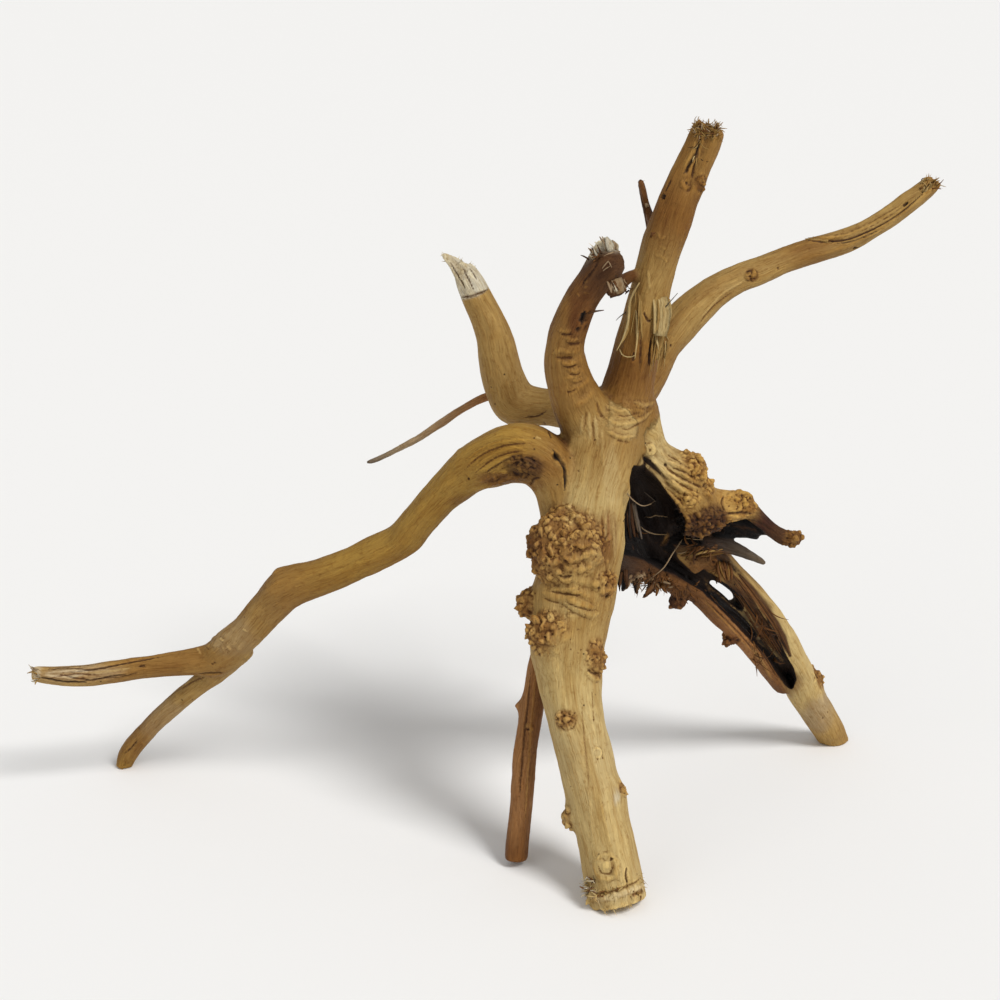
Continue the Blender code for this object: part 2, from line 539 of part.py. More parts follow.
def box_below(point, normal, size):
    """A box that starts at the plane through the point and reaches along the normal, in mm."""
    bm = bmesh.new()
    turn = Vector(normal).to_track_quat("Z", "Y").to_matrix().to_4x4()
    matrix = (Matrix.Translation(Vector(point) * MM) @ turn
              @ Matrix.Translation((0, 0, size[2] * MM / 2))
              @ Matrix.Diagonal((size[0] * MM, size[1] * MM, size[2] * MM, 1)))
    bmesh.ops.create_cube(bm, size=1.0, matrix=matrix)
    return object_from(bm, "trim")


def build():
    """The whole piece of wood."""
    body = bmesh.new()
    for i, stations in enumerate(LIMBS.values()):
        add_tube(body, stations, seed=i + 1)
    for i, burl in enumerate(BURLS):
        add_burl(body, *burl[1:], seed=i * 0.8)
    wood = object_from(body, "driftwood")
    fuse(wood, LIMB_VOXEL)

    hollows = bmesh.new()
    for i, stations in enumerate(HOLLOWS.values()):
        add_tube(hollows, stations, seed=i + 3, strength=HOLLOW_RELIEF, sides=HOLLOW_SIDES)
    add_slot(hollows, LEG_GAP_CENTRE, LEG_GAP_ALONG, LEG_GAP_DEPTH, LEG_GAP_HALF_SIZES)
    cutter = object_from(hollows, "hollows")
    fuse(cutter, HOLLOW_VOXEL)
    cut(wood, cutter, "MANIFOLD")

    late = bmesh.new()
    late.from_mesh(wood.data)
    skin = BVHTree.FromBMesh(late)
    for i, stations in enumerate(LATE_LIMBS.values()):
        add_tube(late, stations, seed=i + 2, strength=LATE_RELIEF, sides=LATE_SIDES, step=THIN_STEP)
    lines = LIMBS | HOLLOWS
    for i, (line, span, turn, radius) in enumerate(RIDGES.values()):
        add_ridge(late, skin, lines[line], span, turn, radius, seed=i)
    for i, torn_end in enumerate(TORN_ENDS):
        add_torn_end(late, *torn_end[1:], seed=i * 0.9)
    for start, end, radius in TIP_SPIKES:
        add_spike(late, start, end, radius)
    late.to_mesh(wood.data)
    late.free()
    fuse(wood, SKIN_VOXEL)
    keep_main_shell(wood)

    smooth = wood.modifiers.new("smooth", "SMOOTH")
    smooth.factor = SMOOTHING
    smooth.iterations = 1
    bake(wood)

    thin = wood.modifiers.new("thin", "DECIMATE")
    thin.decimate_type = "COLLAPSE"
    thin.use_collapse_triangulate = True
    thin.ratio = TRIANGLES / sum(len(face.vertices) - 2 for face in wood.data.polygons)
    bake(wood)
    keep_main_shell(wood)

    cut(wood, box_below(SAW_CUT_POINT, SAW_CUT_NORMAL, SAW_CUT_BOX), "EXACT")
    cut(wood, box_below((0, 0, 0), (0, 0, -1), FLOOR_BOX), "EXACT")
    wood.data.transform(Matrix.Translation(Vector(FRAME_SHIFT) * MM))
    return wood


for old in list(bpy.data.objects):
    bpy.data.objects.remove(old)

material = bpy.data.materials.new("driftwood")
material.use_nodes = True
shader = material.node_tree.nodes["Principled BSDF"]
shader.inputs["Base Color"].default_value = WOOD_COLOUR
shader.inputs["Roughness"].default_value = WOOD_ROUGHNESS

driftwood = build()
driftwood.data.materials.clear()
driftwood.data.materials.append(material)
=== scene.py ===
"""The looks of the piece of driftwood: its fine surface, loose fibres, root hairs and torn ends."""
import math

import bmesh
import bpy
import numpy as np
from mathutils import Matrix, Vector, noise
from mathutils.bvhtree import BVHTree


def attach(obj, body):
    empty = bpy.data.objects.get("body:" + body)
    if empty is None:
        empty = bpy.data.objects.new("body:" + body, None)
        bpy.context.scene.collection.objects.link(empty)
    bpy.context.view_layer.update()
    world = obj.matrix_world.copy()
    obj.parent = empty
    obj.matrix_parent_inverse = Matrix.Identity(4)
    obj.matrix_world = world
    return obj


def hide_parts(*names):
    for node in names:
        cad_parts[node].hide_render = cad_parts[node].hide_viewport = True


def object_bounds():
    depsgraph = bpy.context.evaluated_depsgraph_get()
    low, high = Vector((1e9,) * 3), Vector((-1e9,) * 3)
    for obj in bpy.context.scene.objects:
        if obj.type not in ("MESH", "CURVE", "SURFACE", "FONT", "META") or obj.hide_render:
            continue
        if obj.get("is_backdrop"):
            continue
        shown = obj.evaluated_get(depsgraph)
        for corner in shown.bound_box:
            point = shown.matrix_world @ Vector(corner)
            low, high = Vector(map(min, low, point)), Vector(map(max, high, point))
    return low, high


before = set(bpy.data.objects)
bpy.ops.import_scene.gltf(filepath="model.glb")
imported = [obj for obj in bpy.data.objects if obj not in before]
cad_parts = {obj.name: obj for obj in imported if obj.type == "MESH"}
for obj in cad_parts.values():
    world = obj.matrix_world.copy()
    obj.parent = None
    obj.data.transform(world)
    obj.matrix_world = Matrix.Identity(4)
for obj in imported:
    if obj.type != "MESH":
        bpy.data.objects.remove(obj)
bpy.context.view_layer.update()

# The camera
# It stands 920 mm from the middle of the piece, 20 degrees above the horizon, with a 75 mm lens on a
# 36 mm frame. A mark that is given by its place in the picture is put on the wood that is seen there.
MM = 0.001
SHIFT = Vector((-0.6, 2.9, 0.0))
ELEVATION = math.radians(20)
DISTANCE = 0.92
LENS = 75.0
FILM = 36.0


def place(point):
    """A point of the tables, in mm, in the part's frame in metres."""
    return (Vector(point) + SHIFT) * MM


TARGET = place((9.5, 12.0, 150.0))
CAMERA_SPOT = TARGET + Vector((0, -math.cos(ELEVATION), math.sin(ELEVATION))) * DISTANCE
lens = bpy.data.cameras.new("camera")
lens.lens = LENS
lens.sensor_width = FILM
camera = bpy.data.objects.new("camera", lens)
camera.location = CAMERA_SPOT
camera.rotation_euler = (math.radians(90) - ELEVATION, 0, 0)
bpy.context.scene.collection.objects.link(camera)
bpy.context.scene.camera = camera


def sight(px, py):
    """Direction from the camera through a point of the 1000 by 1000 picture."""
    right = (px - 500) / 1000 * FILM
    up = (500 - py) / 1000 * FILM
    ahead = Vector((0, math.cos(ELEVATION), -math.sin(ELEVATION))) * LENS
    return (ahead + Vector((right, up * math.sin(ELEVATION), up * math.cos(ELEVATION)))).normalized()


# The wood
# One grown root, bark-free and bleached by sun and water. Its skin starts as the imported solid, which is
# rounded, remeshed and given grain flutes, burl knobs and folds that follow the growth of each limb.
SKIN_VOXEL = 0.62
SKIN_TRIANGLES = 196000
LINE_STEP = 2.0
BLEND_WIDTH = 7.0

# Finishes of the wood: base colour and how weathered its fibres are, from 0 to 1
FINISHES = {
    "pale": ("#b59b65", 0.10),
    "straw": ("#b69e6c", 0.08),
    "tan": ("#9c7c45", 0.16),
    "gold": ("#967331", 0.14),
    "honey": ("#b08a4a", 0.12),
    "ochre": ("#896530", 0.22),
    "amber": ("#77501e", 0.25),
    "burl": ("#9b7640", 0.10),
    "brown": ("#6a431c", 0.45),
    "umber": ("#4a2e14", 0.55),
    "rust": ("#91663c", 0.50),
    "bleached": ("#c2b8a2", 0.85),
    "grey": ("#615549", 0.70),
    "rot": ("#66421e", 0.95),
    "hair": ("#988164", 0.30),
    "soot": ("#2e2219", 0.75),
    # Near black, for the hollow's depths, cracks, pits and the claw's underside: mostly painted shade there, over
    # some dark rotten wood.
    "char": ("#120c08", 1.00),
}

# Centre lines of the limbs: grain group, then stations x, y, z, radius in mm and finish
LINES = {
    "trunk": (0, [
        (61, -80, -6, 12.6, "straw"), (55, -68, 22, 12.3, "pale"), (45, -51, 57, 12.2, "straw"),
        (39, -39, 86, 14, "pale"), (41, -27, 119, 17.8, "tan"), (47, -14, 155, 17.6, "pale"),
        (51, -7, 173, 18, "tan"), (57, 4, 196, 12, "ochre"),
    ]),
    "tall stub": (1, [
        (56, 0, 182, 15.6, "tan"), (62, 3, 197, 12, "ochre"), (66, 5, 212, 10.4, "amber"),
        (69, 7, 227, 9.7, "ochre"), (74.5, 9, 252, 8.8, "tan"), (81.6, 11, 276, 8.7, "amber"),
        (89.4, 15, 296, 7.8, "ochre"), (97, 18, 313, 7.3, "ochre"),
    ]),
    "bent stub": (1, [
        (51, -2, 183, 14.6, "pale"), (45, -5, 195, 11.9, "tan"), (40, -8, 207, 10.4, "ochre"),
        (37, -10, 218, 9, "ochre"), (36.5, -12, 228, 8.4, "ochre"), (39, -14, 238, 7.9, "brown"),
        (43, -16, 248, 7.3, "brown"), (52, -20, 261.5, 6.9, "umber"), (59, -22, 266.5, 3.4, "umber"),
    ]),
    "back stub": (1, [
        (60, 10, 188, 11, "tan"), (40, 26, 188, 9.7, "tan"), (17, 36, 187, 10.4, "tan"),
        (9, 39, 205, 9.1, "tan"), (3, 41, 226, 7.5, "tan"), (-7, 44, 246, 4.2, "tan"),
    ]),
    "left arm": (1, [
        (41, -18, 128, 9.5, "tan"), (34, -16, 166, 10, "tan"), (28, -15, 177, 12, "ochre"),
        (18, -13, 181, 13.2, "gold"), (7, -10, 177, 12.2, "gold"), (-13, -4, 161, 8.4, "gold"),
        (-33, 3, 135, 8.3, "gold"), (-57, 9, 120, 7.9, "gold"), (-85, 15, 107, 9.6, "ochre"),
        (-105, 21, 84, 8, "tan"), (-123, 26, 66, 7.6, "ochre"),
    ]),
    "left upper prong": (0, [
        (-112, 25, 71, 7.2, "tan"), (-131, 25, 66, 6.5, "ochre"), (-157, 22, 64, 5.2, "ochre"),
        (-181, 18, 62, 5.2, "tan"), (-204, 14, 65, 3.6, "tan"),
    ]),
    "left lower prong": (0, [
        (-108, 25, 74, 6.8, "tan"), (-123, 30, 58, 5.3, "tan"), (-143, 38, 39, 5, "tan"),
        (-164, 46, 15, 4.8, "ochre"), (-173, 49, -2, 3.9, "gold"),
    ]),
    "right arm": (1, [
        (60, 10, 190, 11.3, "tan"), (73, 22, 205, 9.6, "ochre"), (88, 30, 226, 8.7, "tan"),
        (105, 38, 239, 7.2, "tan"), (126, 46, 246, 6.3, "tan"), (145, 52, 252, 5.8, "ochre"),
        (166, 58, 257, 5.5, "tan"), (192, 65, 272, 4.9, "tan"), (203, 68, 280.5, 4.1, "ochre"),
    ]),
    "shoulder": (1, [
        (56, 0, 188, 15, "pale"), (65, 8, 180, 12.6, "pale"), (75, 10, 169, 11.2, "straw"),
        (87, 12, 157, 12.4, "tan"), (103, 16, 140, 9, "brown"),
    ]),
    "claw": (0, [
        (98, 14, 149, 7.6, "honey"), (113, 19, 144, 6.6, "honey"), (124, 22, 139, 3.8, "umber"),
        (134.6, 27, 128.2, 3.6, "umber"), (147, 30, 125.2, 1.6, "brown"),
    ]),
    "cavity wall": (0, [
        (60, 10, 186, 13, "tan"), (71, 20, 161, 15.6, "tan"), (77, 26, 141, 15.4, "ochre"),
        (88, 32, 108, 9.4, "tan"),
    ]),
    "hollow leg": (1, [
        (89, 28, 125, 12, "tan"), (112, 34, 106, 8.8, "tan"), (132.5, 42, 82.5, 7.8, "pale"),
        (147, 53, 56, 7.8, "pale"), (157, 64, 33, 8.8, "pale"), (170, 73, 10, 7.9, "tan"),
        (178, 79, -6, 6.8, "tan"),
    ]),
    "lower strand": (0, [
        (74, 10, 117, 4.6, "rot"), (99, 23, 100, 4, "rot"), (121, 38, 73, 4.1, "rust"),
        (146, 58, 37, 4.4, "rot"),
    ]),
    "cavity ledge": (0, [
        (55, -8, 130, 7, "soot"), (70, 6, 120, 5.8, "umber"), (95, 21, 100, 3.2, "rot"),
    ]),
    "black prong": (0, [(92, 24, 130, 5, "char"), (127, 31, 124, 1.4, "char")]),
    "grey prong": (0, [
        (86, 18, 128, 4.6, "umber"), (106, 20, 126, 3.9, "soot"), (130, 24, 115, 1.4, "grey"),
    ]),
    # The claw's underside is coloured near black: painted shade beneath it.
    "claw underside": (0, [(104, 22, 141, 4.6, "char"), (129, 28, 128, 1.8, "umber")]),
    "thin root": (0, [
        (22, 42, 190, 3.6, "ochre"), (3, 52, 185, 2.2, "rust"), (-29, 58, 163, 1.8, "hair"),
        (-53, 62, 150, 1.3, "grey"),
    ]),
    "twig": (0, [
        (77, 16, 262, 3.4, "brown"), (72.6, 24, 275.8, 2.1, "umber"), (68.8, 24, 290.3, 1.6, "umber"),
    ]),
    "bark scrap": (0, [
        (68, 7, 253, 2.4, "brown"), (59.2, -4, 252, 3.2, "umber"), (54, -12, 252, 1.6, "umber"),
    ]),
    "bleached flake": (0, [
        (46, -17, 261, 3.4, "umber"), (49, -17, 268, 2.8, "bleached"), (56, -19, 271, 2, "bleached"),
    ]),
    "back leg": (1, [
        (46, -10, 130, 8, "umber"), (29, -20, 92, 5.5, "rust"), (22, -30, 58, 5.3, "rust"),
        (19, -38, 28, 5.1, "rust"), (16.6, -46, 2.3, 5.4, "brown"),
    ]),
}

# Burls: centre, half sizes in mm and finish. A burl fades out between two shares of its half sizes.
BURLS = [
    ((37, -31.5, 144.5), (14.8, 9.4, 14.4), "burl"), ((52, -34, 129), (6.2, 5.4, 5.8), "burl"),
    ((21, -29, 118), (4.6, 4.6, 6.4), "burl"), ((30, -43, 110), (8.8, 5.4, 8.6), "burl"),
    ((49, -43, 98), (5.4, 4.6, 8), "burl"), ((38, -54, 75), (4.2, 3.6, 4.6), "burl"),
    ((60, -60, 44), (3.0, 3.0, 4.0), "burl"), ((40, -62.5, 33), (3.6, 3.6, 4.8), "burl"),
    ((92.5, 8, 166.5), (7, 6.4, 6.2), "honey"), ((99, 9, 157.5), (4.4, 4.6, 4.6), "honey"),
    ((114, 20, 145), (9.2, 6, 5), "honey"), ((90, 3, 154), (5.6, 4.6, 5.6), "honey"),
    ((96, 6, 143), (12, 6.4, 6.4), "umber"), ((84, 3, 147), (6, 4.2, 5.6), "brown"),
    ((90, 19, 99), (4.2, 3.8, 3.4), "rot"), ((116, 35, 73), (4, 3.4, 3), "rot"),
    ((160.5, 64, 39), (5, 5, 5.8), "burl"), ((141.5, 27.5, 126), (4.4, 3.8, 3.8), "ochre"),
    ((93, 9, 291.5), (2.6, 2.4, 3.2), "ochre"), ((119, 39, 245), (3, 3, 2.6), "ochre"),
]
BURL_REACH = (1.45, 1.05)
BURL_TINT = 0.85

# Rotten hollows, each along a line of x, y, z and reach in mm: where the wood closes in they are painted near
# black, painted shade over dark rot
HOLLOWS = [
    [(66, -12, 169, 5), (69, -6, 163, 13), (74, 0, 150, 20), (78, 4, 136, 24), (82, 6, 118, 20),
     (94, 14, 106, 12)],
    [(84, 12, 117, 11), (106, 22, 104, 13), (127, 33, 80, 12), (147, 51, 46, 9), (152, 58, 38, 5)],
    [(104, 22, 138, 8), (124, 26, 130, 5)],
]

# What one pixel of the picture spans at the middle of the piece, and how far back a patch on the skin
# reaches, in mm
PIXEL_SPAN = 0.44
STAIN_DEPTH = 16.0
ROUGH_DEPTH = 12.0

# Stains, worn patches and painted shade, by place in the picture: x, y, half width, half height, finish and
# strength
STAINS = [
    # The three stains of the next line and the umber one after them darken the underside of the left arm's crest:
    # painted shade.
    (524, 470, 19, 15, "umber", 0.7), (500, 480, 26, 9, "brown", 0.7), (470, 500, 20, 8, "brown", 0.45),
    (530, 463, 10, 8, "umber", 0.5), (608, 536, 10, 30, "amber", 0.75), (533, 545, 12, 18, "brown", 0.45),
    (612, 480, 8, 40, "straw", 0.45), (640, 440, 10, 14, "ochre", 0.4), (572, 517, 7, 6, "pale", 0.7),
    (583, 345, 8, 50, "amber", 0.35), (605, 268, 20, 17, "umber", 0.7), (560, 315, 9, 45, "ochre", 0.7),
    (574, 282, 8, 14, "brown", 0.6), (704, 562, 24, 14, "rot", 0.9), (722, 560, 12, 16, "rot", 0.8),
    (650, 352, 12, 22, "amber", 0.6), (708, 128, 16, 9, "umber", 0.3), (560, 610, 24, 9, "pale", 0.5),
    (656, 500, 7, 26, "pale", 0.55), (641, 473, 5, 8, "amber", 0.55), (705, 526, 34, 11, "umber", 0.75),
    (617, 797, 4, 6, "bleached", 0.6), (36, 674, 5, 8, "bleached", 0.6),
    (218, 640, 26, 12, "straw", 0.25), (640, 583, 10, 8, "hair", 0.4), (742, 500, 18, 9, "gold", 0.4),
    (818, 716, 20, 34, "hair", 0.6), (795, 682, 10, 14, "rot", 0.6), (650, 571, 26, 8, "umber", 0.6),
    (78, 675, 44, 10, "hair", 0.6), (160, 718, 42, 30, "hair", 0.35), (232, 636, 32, 26, "hair", 0.35),
    (574, 282, 6, 10, "amber", 0.4),
]

# Rough, knobby skin: x, y, half width, half height in the picture and how rough
ROUGH = [
    (524, 470, 18, 13, 0.6), (500, 478, 20, 7, 0.35), (216, 645, 24, 9, 0.25), (560, 612, 16, 7, 0.3),
    (642, 582, 12, 8, 0.7), (519, 604, 5, 9, 0.6), (704, 524, 30, 12, 1.0), (533, 545, 12, 18, 0.9),
]

# Scattered specks: x, y, half width and half height in the picture, count, half width and height of a speck
# in mm, finish
SPECK_STRENGTH = 0.8
SPECKS = [
    (703, 526, 31, 10, 60, 0.75, 0.9, "ochre"), (703, 526, 31, 10, 30, 0.7, -0.9, "char"),
    (640, 582, 14, 9, 22, 0.9, 0.9, "hair"), (656, 578, 16, 8, 20, 0.8, -0.8, "char"),
    (704, 555, 16, 10, 12, 0.8, 0.6, "brown"), (704, 555, 16, 10, 12, 0.7, -0.8, "char"),
    (524, 468, 15, 12, 12, 0.9, -0.7, "umber"), (690, 478, 20, 16, 8, 0.5, -0.5, "umber"),
    (742, 502, 16, 8, 18, 0.4, -0.5, "umber"), (632, 530, 9, 22, 16, 0.9, 0.5, "rot"),
    (580, 640, 14, 80, 14, 0.4, -0.4, "brown"),
]

# A mark's reach, height and tint, as shares of what its row gives. A wide mark is a band of colour first of all.
RAISED_MARK = {"reach": 1.6, "height": 0.85, "tint": 0.6}
SUNK_MARK = {"reach": 1.25, "height": 0.7, "tint": 0.85}
WIDE_MARK = {"from": 2.5, "tint": 1.2}
MARK_JITTER = 0.6

# Cracks, folds, flutes, knobs and pits, by place in the picture: half width and height in mm (below 0 is
# sunk), finish or none, strength of the finish, and the points of each line of that kind (a single point is
# a knob or a pit). The dark finishes of sunk cracks, pits and grooves are partly painted shade in them and partly
# dark wood.
MARKS = [
    # Joint of the left arm and the trunk
    (0.95, -1.5, "char", 0.95, [(552.6, 448.8), (560.2, 460.7), (565, 469.4), (565.5, 480),
     (564.5, 490)]),
    (1.9, -2.2, "char", 1.0, [(557, 456.4)]),
    (0.9, -0.9, "umber", 0.8, [(543.9, 421.7), (548, 430), (551.5, 439)]),
    (0.8, 0.35, "straw", 0.7, [(583, 416), (581, 434)]),
    (0.7, 0.35, "straw", 0.7, [(589, 412), (590, 438)]),
    (0.7, 0.3, "straw", 0.7, [(595, 416), (598, 446)]),
    (0.8, 0.3, "straw", 0.6, [(602, 430), (604, 470)]),
    (0.8, -0.3, "amber", 0.5, [(586, 412), (584, 430)]),
    (0.7, -0.3, "amber", 0.5, [(593, 420), (594, 448)]), (0.6, -0.6, "umber", 0.8, [(594.9, 440)]),
    (0.5, -0.6, "umber", 0.8, [(578.6, 471)]),
    # Main burl: the knobs that stand out, its smooth rim and the folds beneath
    (2.4, 1.5, None, 0, [(565.1, 556.2)]), (2.2, 1.4, None, 0, [(576.3, 558.8)]),
    (2.2, 1.3, None, 0, [(552.3, 562.5)]), (1.9, 1.2, None, 0, [(563.9, 543.1)]),
    (1.7, 1.2, None, 0, [(579.5, 543), (577, 548)]), (1.8, 1.1, None, 0, [(586.3, 544.7)]),
    (1.8, 1.2, None, 0, [(589.6, 554)], [(588.8, 567.1)]), (1.6, 1.1, None, 0, [(580.5, 570.4)]),
    (1.3, 1.0, None, 0, [(573.8, 569)]), (1.7, 1.1, None, 0, [(567, 568)]),
    (1.7, 1.0, None, 0, [(598.7, 561.3)]), (1.7, 1.3, None, 0, [(543.2, 548), (542.4, 555), (544, 562)]),
    (1.6, 1.2, None, 0, [(554, 548), (551, 555)]), (1.7, 1.0, None, 0, [(575.5, 533), (571, 538)]),
    (1.5, 0.9, None, 0, [(561, 535), (567, 531)]), (0.8, -1.0, "umber", 0.6, [(565.5, 560.5)]),
    (0.7, -0.9, "umber", 0.6, [(549, 566)]),
    (1.6, 1.1, "pale", 0.35, [(556, 508), (563, 508), (569.5, 510.5), (576.3, 515.7), (583, 524.8),
     (587.5, 534)]),
    (1.0, -0.7, "ochre", 0.6, [(565, 514), (573, 518.5), (579.5, 527), (583, 536)]),
    (1.2, 0.9, "tan", 0.4, [(559, 579), (565, 580.6), (571.4, 579.6)]),
    (0.7, -1.1, "umber", 0.75, [(558, 575), (565, 577.3), (571.5, 575.6)]),
    (1.2, 0.9, "tan", 0.4, [(568, 588.7), (574, 587), (579, 587)]),
    (1.1, 0.8, "tan", 0.35, [(551.5, 588.7), (566, 590), (581.3, 592.8)]),
    (0.6, -0.6, "umber", 0.5, [(549, 591), (563, 593.5), (582, 595.5)]),
    (2.2, 1.1, "tan", 0.3, [(543.2, 592.8), (559.8, 597.8), (584.6, 601.6), (597, 605.1)]),
    (0.7, -0.5, "brown", 0.4, [(542.3, 597.5), (551.5, 601.1), (563.1, 604.4), (573, 611.9),
     (589.6, 619.4)]),
    (2.4, 1.3, "pale", 0.4, [(561.4, 603.5), (576.3, 609), (589.6, 614.4), (597.9, 613.5)]),
    (0.6, -0.5, "brown", 0.5, [(566, 601.5), (579, 606.5), (592, 610.5)]),
    (1.0, 0.8, None, 0, [(568, 598.6), (581.3, 603.9), (597.1, 608.6)]),
    (0.9, -1.2, "umber", 0.8, [(599.1, 588.3)], [(607, 585.4)]),
    (1.0, -1.3, "char", 0.7, [(607.8, 596.6)]), (1.5, 1.2, None, 0, [(603, 581)]),
    (1.4, 1.2, None, 0, [(611.5, 590)], [(596, 584)]), (1.4, 1.0, None, 0, [(603, 592)]),
    (1.3, 1.0, None, 0, [(612, 581)]), (0.9, 0.8, None, 0, [(533, 593.5)]),
    (0.4, -0.6, "umber", 0.8, [(531.5, 592)], [(535, 593.5)]),
    (1.4, 1.0, None, 0, [(519, 598), (518, 604), (519, 610)]),
    # Streaks of reddish heartwood beside the burl
    (0.8, -0.2, "amber", 0.8, [(602, 516), (603, 548)]),
    (0.6, -0.2, "rust", 0.8, [(608, 512), (610, 556)]),
    (0.6, 0.2, "straw", 0.7, [(605, 505), (606, 540)]),
    (0.7, -0.2, "amber", 0.7, [(605, 560), (607, 574)]),
    (0.7, 0.3, "straw", 0.6, [(613, 520), (615, 560)]),
    # Knots down the trunk
    (1.2, 0.9, None, 0, [(540, 628), (547, 625), (554, 628), (556, 636)]),
    (1.4, 1.2, None, 0, [(541, 641)]), (1.5, 1.2, None, 0, [(550, 642)]),
    (0.7, -1.0, "umber", 0.7, [(545, 637)]), (0.6, -0.9, "umber", 0.7, [(552, 634)]),
    (1.3, 0.9, None, 0, [(588, 656), (594, 650), (601, 655), (603, 664)]),
    (0.8, -1.0, "umber", 0.6, [(592, 660)]), (0.6, -0.8, "umber", 0.6, [(598, 658)]),
    (1.2, 0.9, "pale", 0.4, [(588, 671), (594, 678), (600, 680)]),
    (0.6, -0.9, "umber", 0.55, [(586, 668), (592, 673), (601, 675)]),
    (0.6, -1.0, "umber", 0.8, [(564, 716)], [(570, 714.5)], [(568, 722)]),
    (0.7, -0.5, "ochre", 0.5, [(558, 716), (559, 725), (565, 730), (573, 728), (577, 719)]),
    (0.7, 0.5, "straw", 0.5, [(593, 752), (596, 748), (601, 751), (600, 757), (595, 757)]),
    (0.5, -0.5, "ochre", 0.6, [(598, 759)], [(603, 758)]),
    (1.2, 0.9, "tan", 0.4, [(594, 868), (598, 876), (607, 879), (615, 874), (617, 864), (612, 857),
     (603, 855), (596, 860)]),
    (0.6, -0.6, "brown", 0.45, [(598, 866), (602, 873), (610, 873), (613, 866)]),
    (1.4, 1.1, None, 0, [(606.5, 866)]), (0.8, -1.3, "umber", 0.8, [(611, 857.5), (612, 861)]),
    (0.6, -1.1, "umber", 0.8, [(626.6, 867), (626, 876), (628.4, 886)]),
    (0.6, 0.3, "straw", 0.6, [(588, 780), (594, 850)]),
    (0.6, -0.3, "ochre", 0.5, [(581, 700), (590, 800)]),
    (0.5, -0.4, "ochre", 0.5, [(592, 690), (594, 722)]),
    (0.6, 0.3, "straw", 0.5, [(600, 800), (612, 850)]),
    # Saw-cut foot
    (0.9, -0.9, "ochre", 0.4, [(590, 893), (605, 893), (620, 889), (636, 882), (644, 874)]),
    (1.2, 0.7, "bleached", 0.5, [(592, 898), (605, 898.5), (622, 894), (637, 888), (646, 884)]),
    (1.2, -0.9, "rust", 0.7, [(630, 897), (638, 893), (646, 890)]),
    # Shoulder: folds that sweep to the burls
    (0.7, -1.0, "brown", 0.6, [(665, 464.2), (669, 469.5), (675.3, 474.4), (689.3, 482.4),
     (705.9, 489.2)]),
    (0.6, -0.6, "brown", 0.45, [(671.4, 467.3), (681.6, 470.9), (690.3, 476), (699, 480)]),
    (0.6, -0.7, "brown", 0.5, [(672, 478.3), (681, 485), (692, 490.5), (703, 494)]),
    (0.6, -0.6, "ochre", 0.5, [(663, 486), (672, 493), (680, 501), (684, 508)], [(668, 455), (680, 462),
     (688, 468)]),
    (1.2, 1.0, "pale", 0.4, [(668.9, 473.8), (681.6, 481), (696.9, 487.5)]),
    (1.2, 1.0, "pale", 0.3, [(668, 461), (679, 466.5), (690, 471.5)]),
    (1.2, 0.8, "pale", 0.3, [(666, 480), (677, 486.5), (688, 493.5)]),
    (0.9, 0.7, None, 0, [(678, 472), (690, 478.5), (700, 484)]),
    (1.0, -1.4, "char", 0.8, [(665.7, 464.9)]), (0.9, -1.0, "umber", 0.7, [(696.5, 475.5), (701, 476.5)]),
    (1.2, -1.4, "umber", 0.8, [(703, 484.5), (708, 487)]),
    (1.1, 0.9, None, 0, [(686, 456), (692, 453.5), (699, 457), (703, 465)]),
    (1.0, 0.8, None, 0, [(688, 463), (694, 461), (698, 466), (694, 471)]),
    (0.8, -0.9, "umber", 0.6, [(690, 458.5), (696, 459.5), (700, 464)]),
    (1.3, 1.0, "pale", 0.4, [(647, 447), (652, 446), (654, 452), (649, 454)]),
    (0.6, -0.7, "amber", 0.6, [(650, 450)]),
    (0.9, -0.8, "amber", 0.6, [(643, 455), (645, 463), (643, 473)]),
    (1.4, 1.0, None, 0, [(679, 493), (684, 489.5), (690, 492), (691, 498)]),
    (0.6, -0.9, "umber", 0.7, [(684, 495)], [(688, 501)], [(680, 500)]),
    (0.8, -1.0, "umber", 0.6, [(724, 495), (722, 503), (725, 511)]),
    (1.2, 0.9, None, 0, [(727, 500), (732, 494), (742, 492), (751, 497)]),
    (0.5, -0.8, "umber", 0.6, [(735, 500)], [(743, 503)], [(738, 507)], [(729, 506)], [(748, 500)],
     [(751, 507)]),
    (0.9, -1.2, "umber", 0.9, [(724, 514.5), (738, 513), (753, 514)]),
    (0.9, 0.8, "brown", 0.5, [(783, 534), (789, 533), (792, 539), (787, 543), (782, 539)]),
    (0.6, -0.8, "umber", 0.7, [(786.5, 538)]),
    (0.8, -0.7, "umber", 0.5, [(735, 519), (755, 521), (768, 528), (778, 533)]),
    # Bent stub: wrinkles on the inside of the bend, the knot hole and the line below the broken tip
    (1.0, 0.6, "tan", 0.3, [(558, 329.5), (564, 331), (571, 330.5)]),
    (0.8, -0.7, "brown", 0.6, [(560, 333.5), (566, 334.8), (573, 334)]),
    (1.1, 0.9, "tan", 0.3, [(566, 338.5), (571, 339.8), (578, 339)]),
    (1.0, -0.8, "brown", 0.5, [(568, 343), (574, 344.3), (581, 343)]),
    (1.1, 0.7, "tan", 0.3, [(553, 353), (561, 350.8), (570, 352.8)]),
    (0.9, -0.8, "brown", 0.6, [(555, 357.3), (564, 358.5), (573, 357)]),
    (1.0, 0.9, None, 0, [(562, 363), (569, 364), (576, 361.5)]),
    (0.8, -0.9, "amber", 0.7, [(563, 366), (571, 367), (578, 364.5)]),
    (1.0, 0.8, None, 0, [(567, 370), (574, 371), (580, 368)]),
    (0.7, -0.8, "amber", 0.6, [(569, 374), (576, 375), (581, 373)]),
    (0.9, 0.7, None, 0, [(572, 380), (577, 380.5), (582, 378)]),
    (0.8, -0.8, "amber", 0.6, [(566, 392), (572, 391.5), (577, 388.5)]),
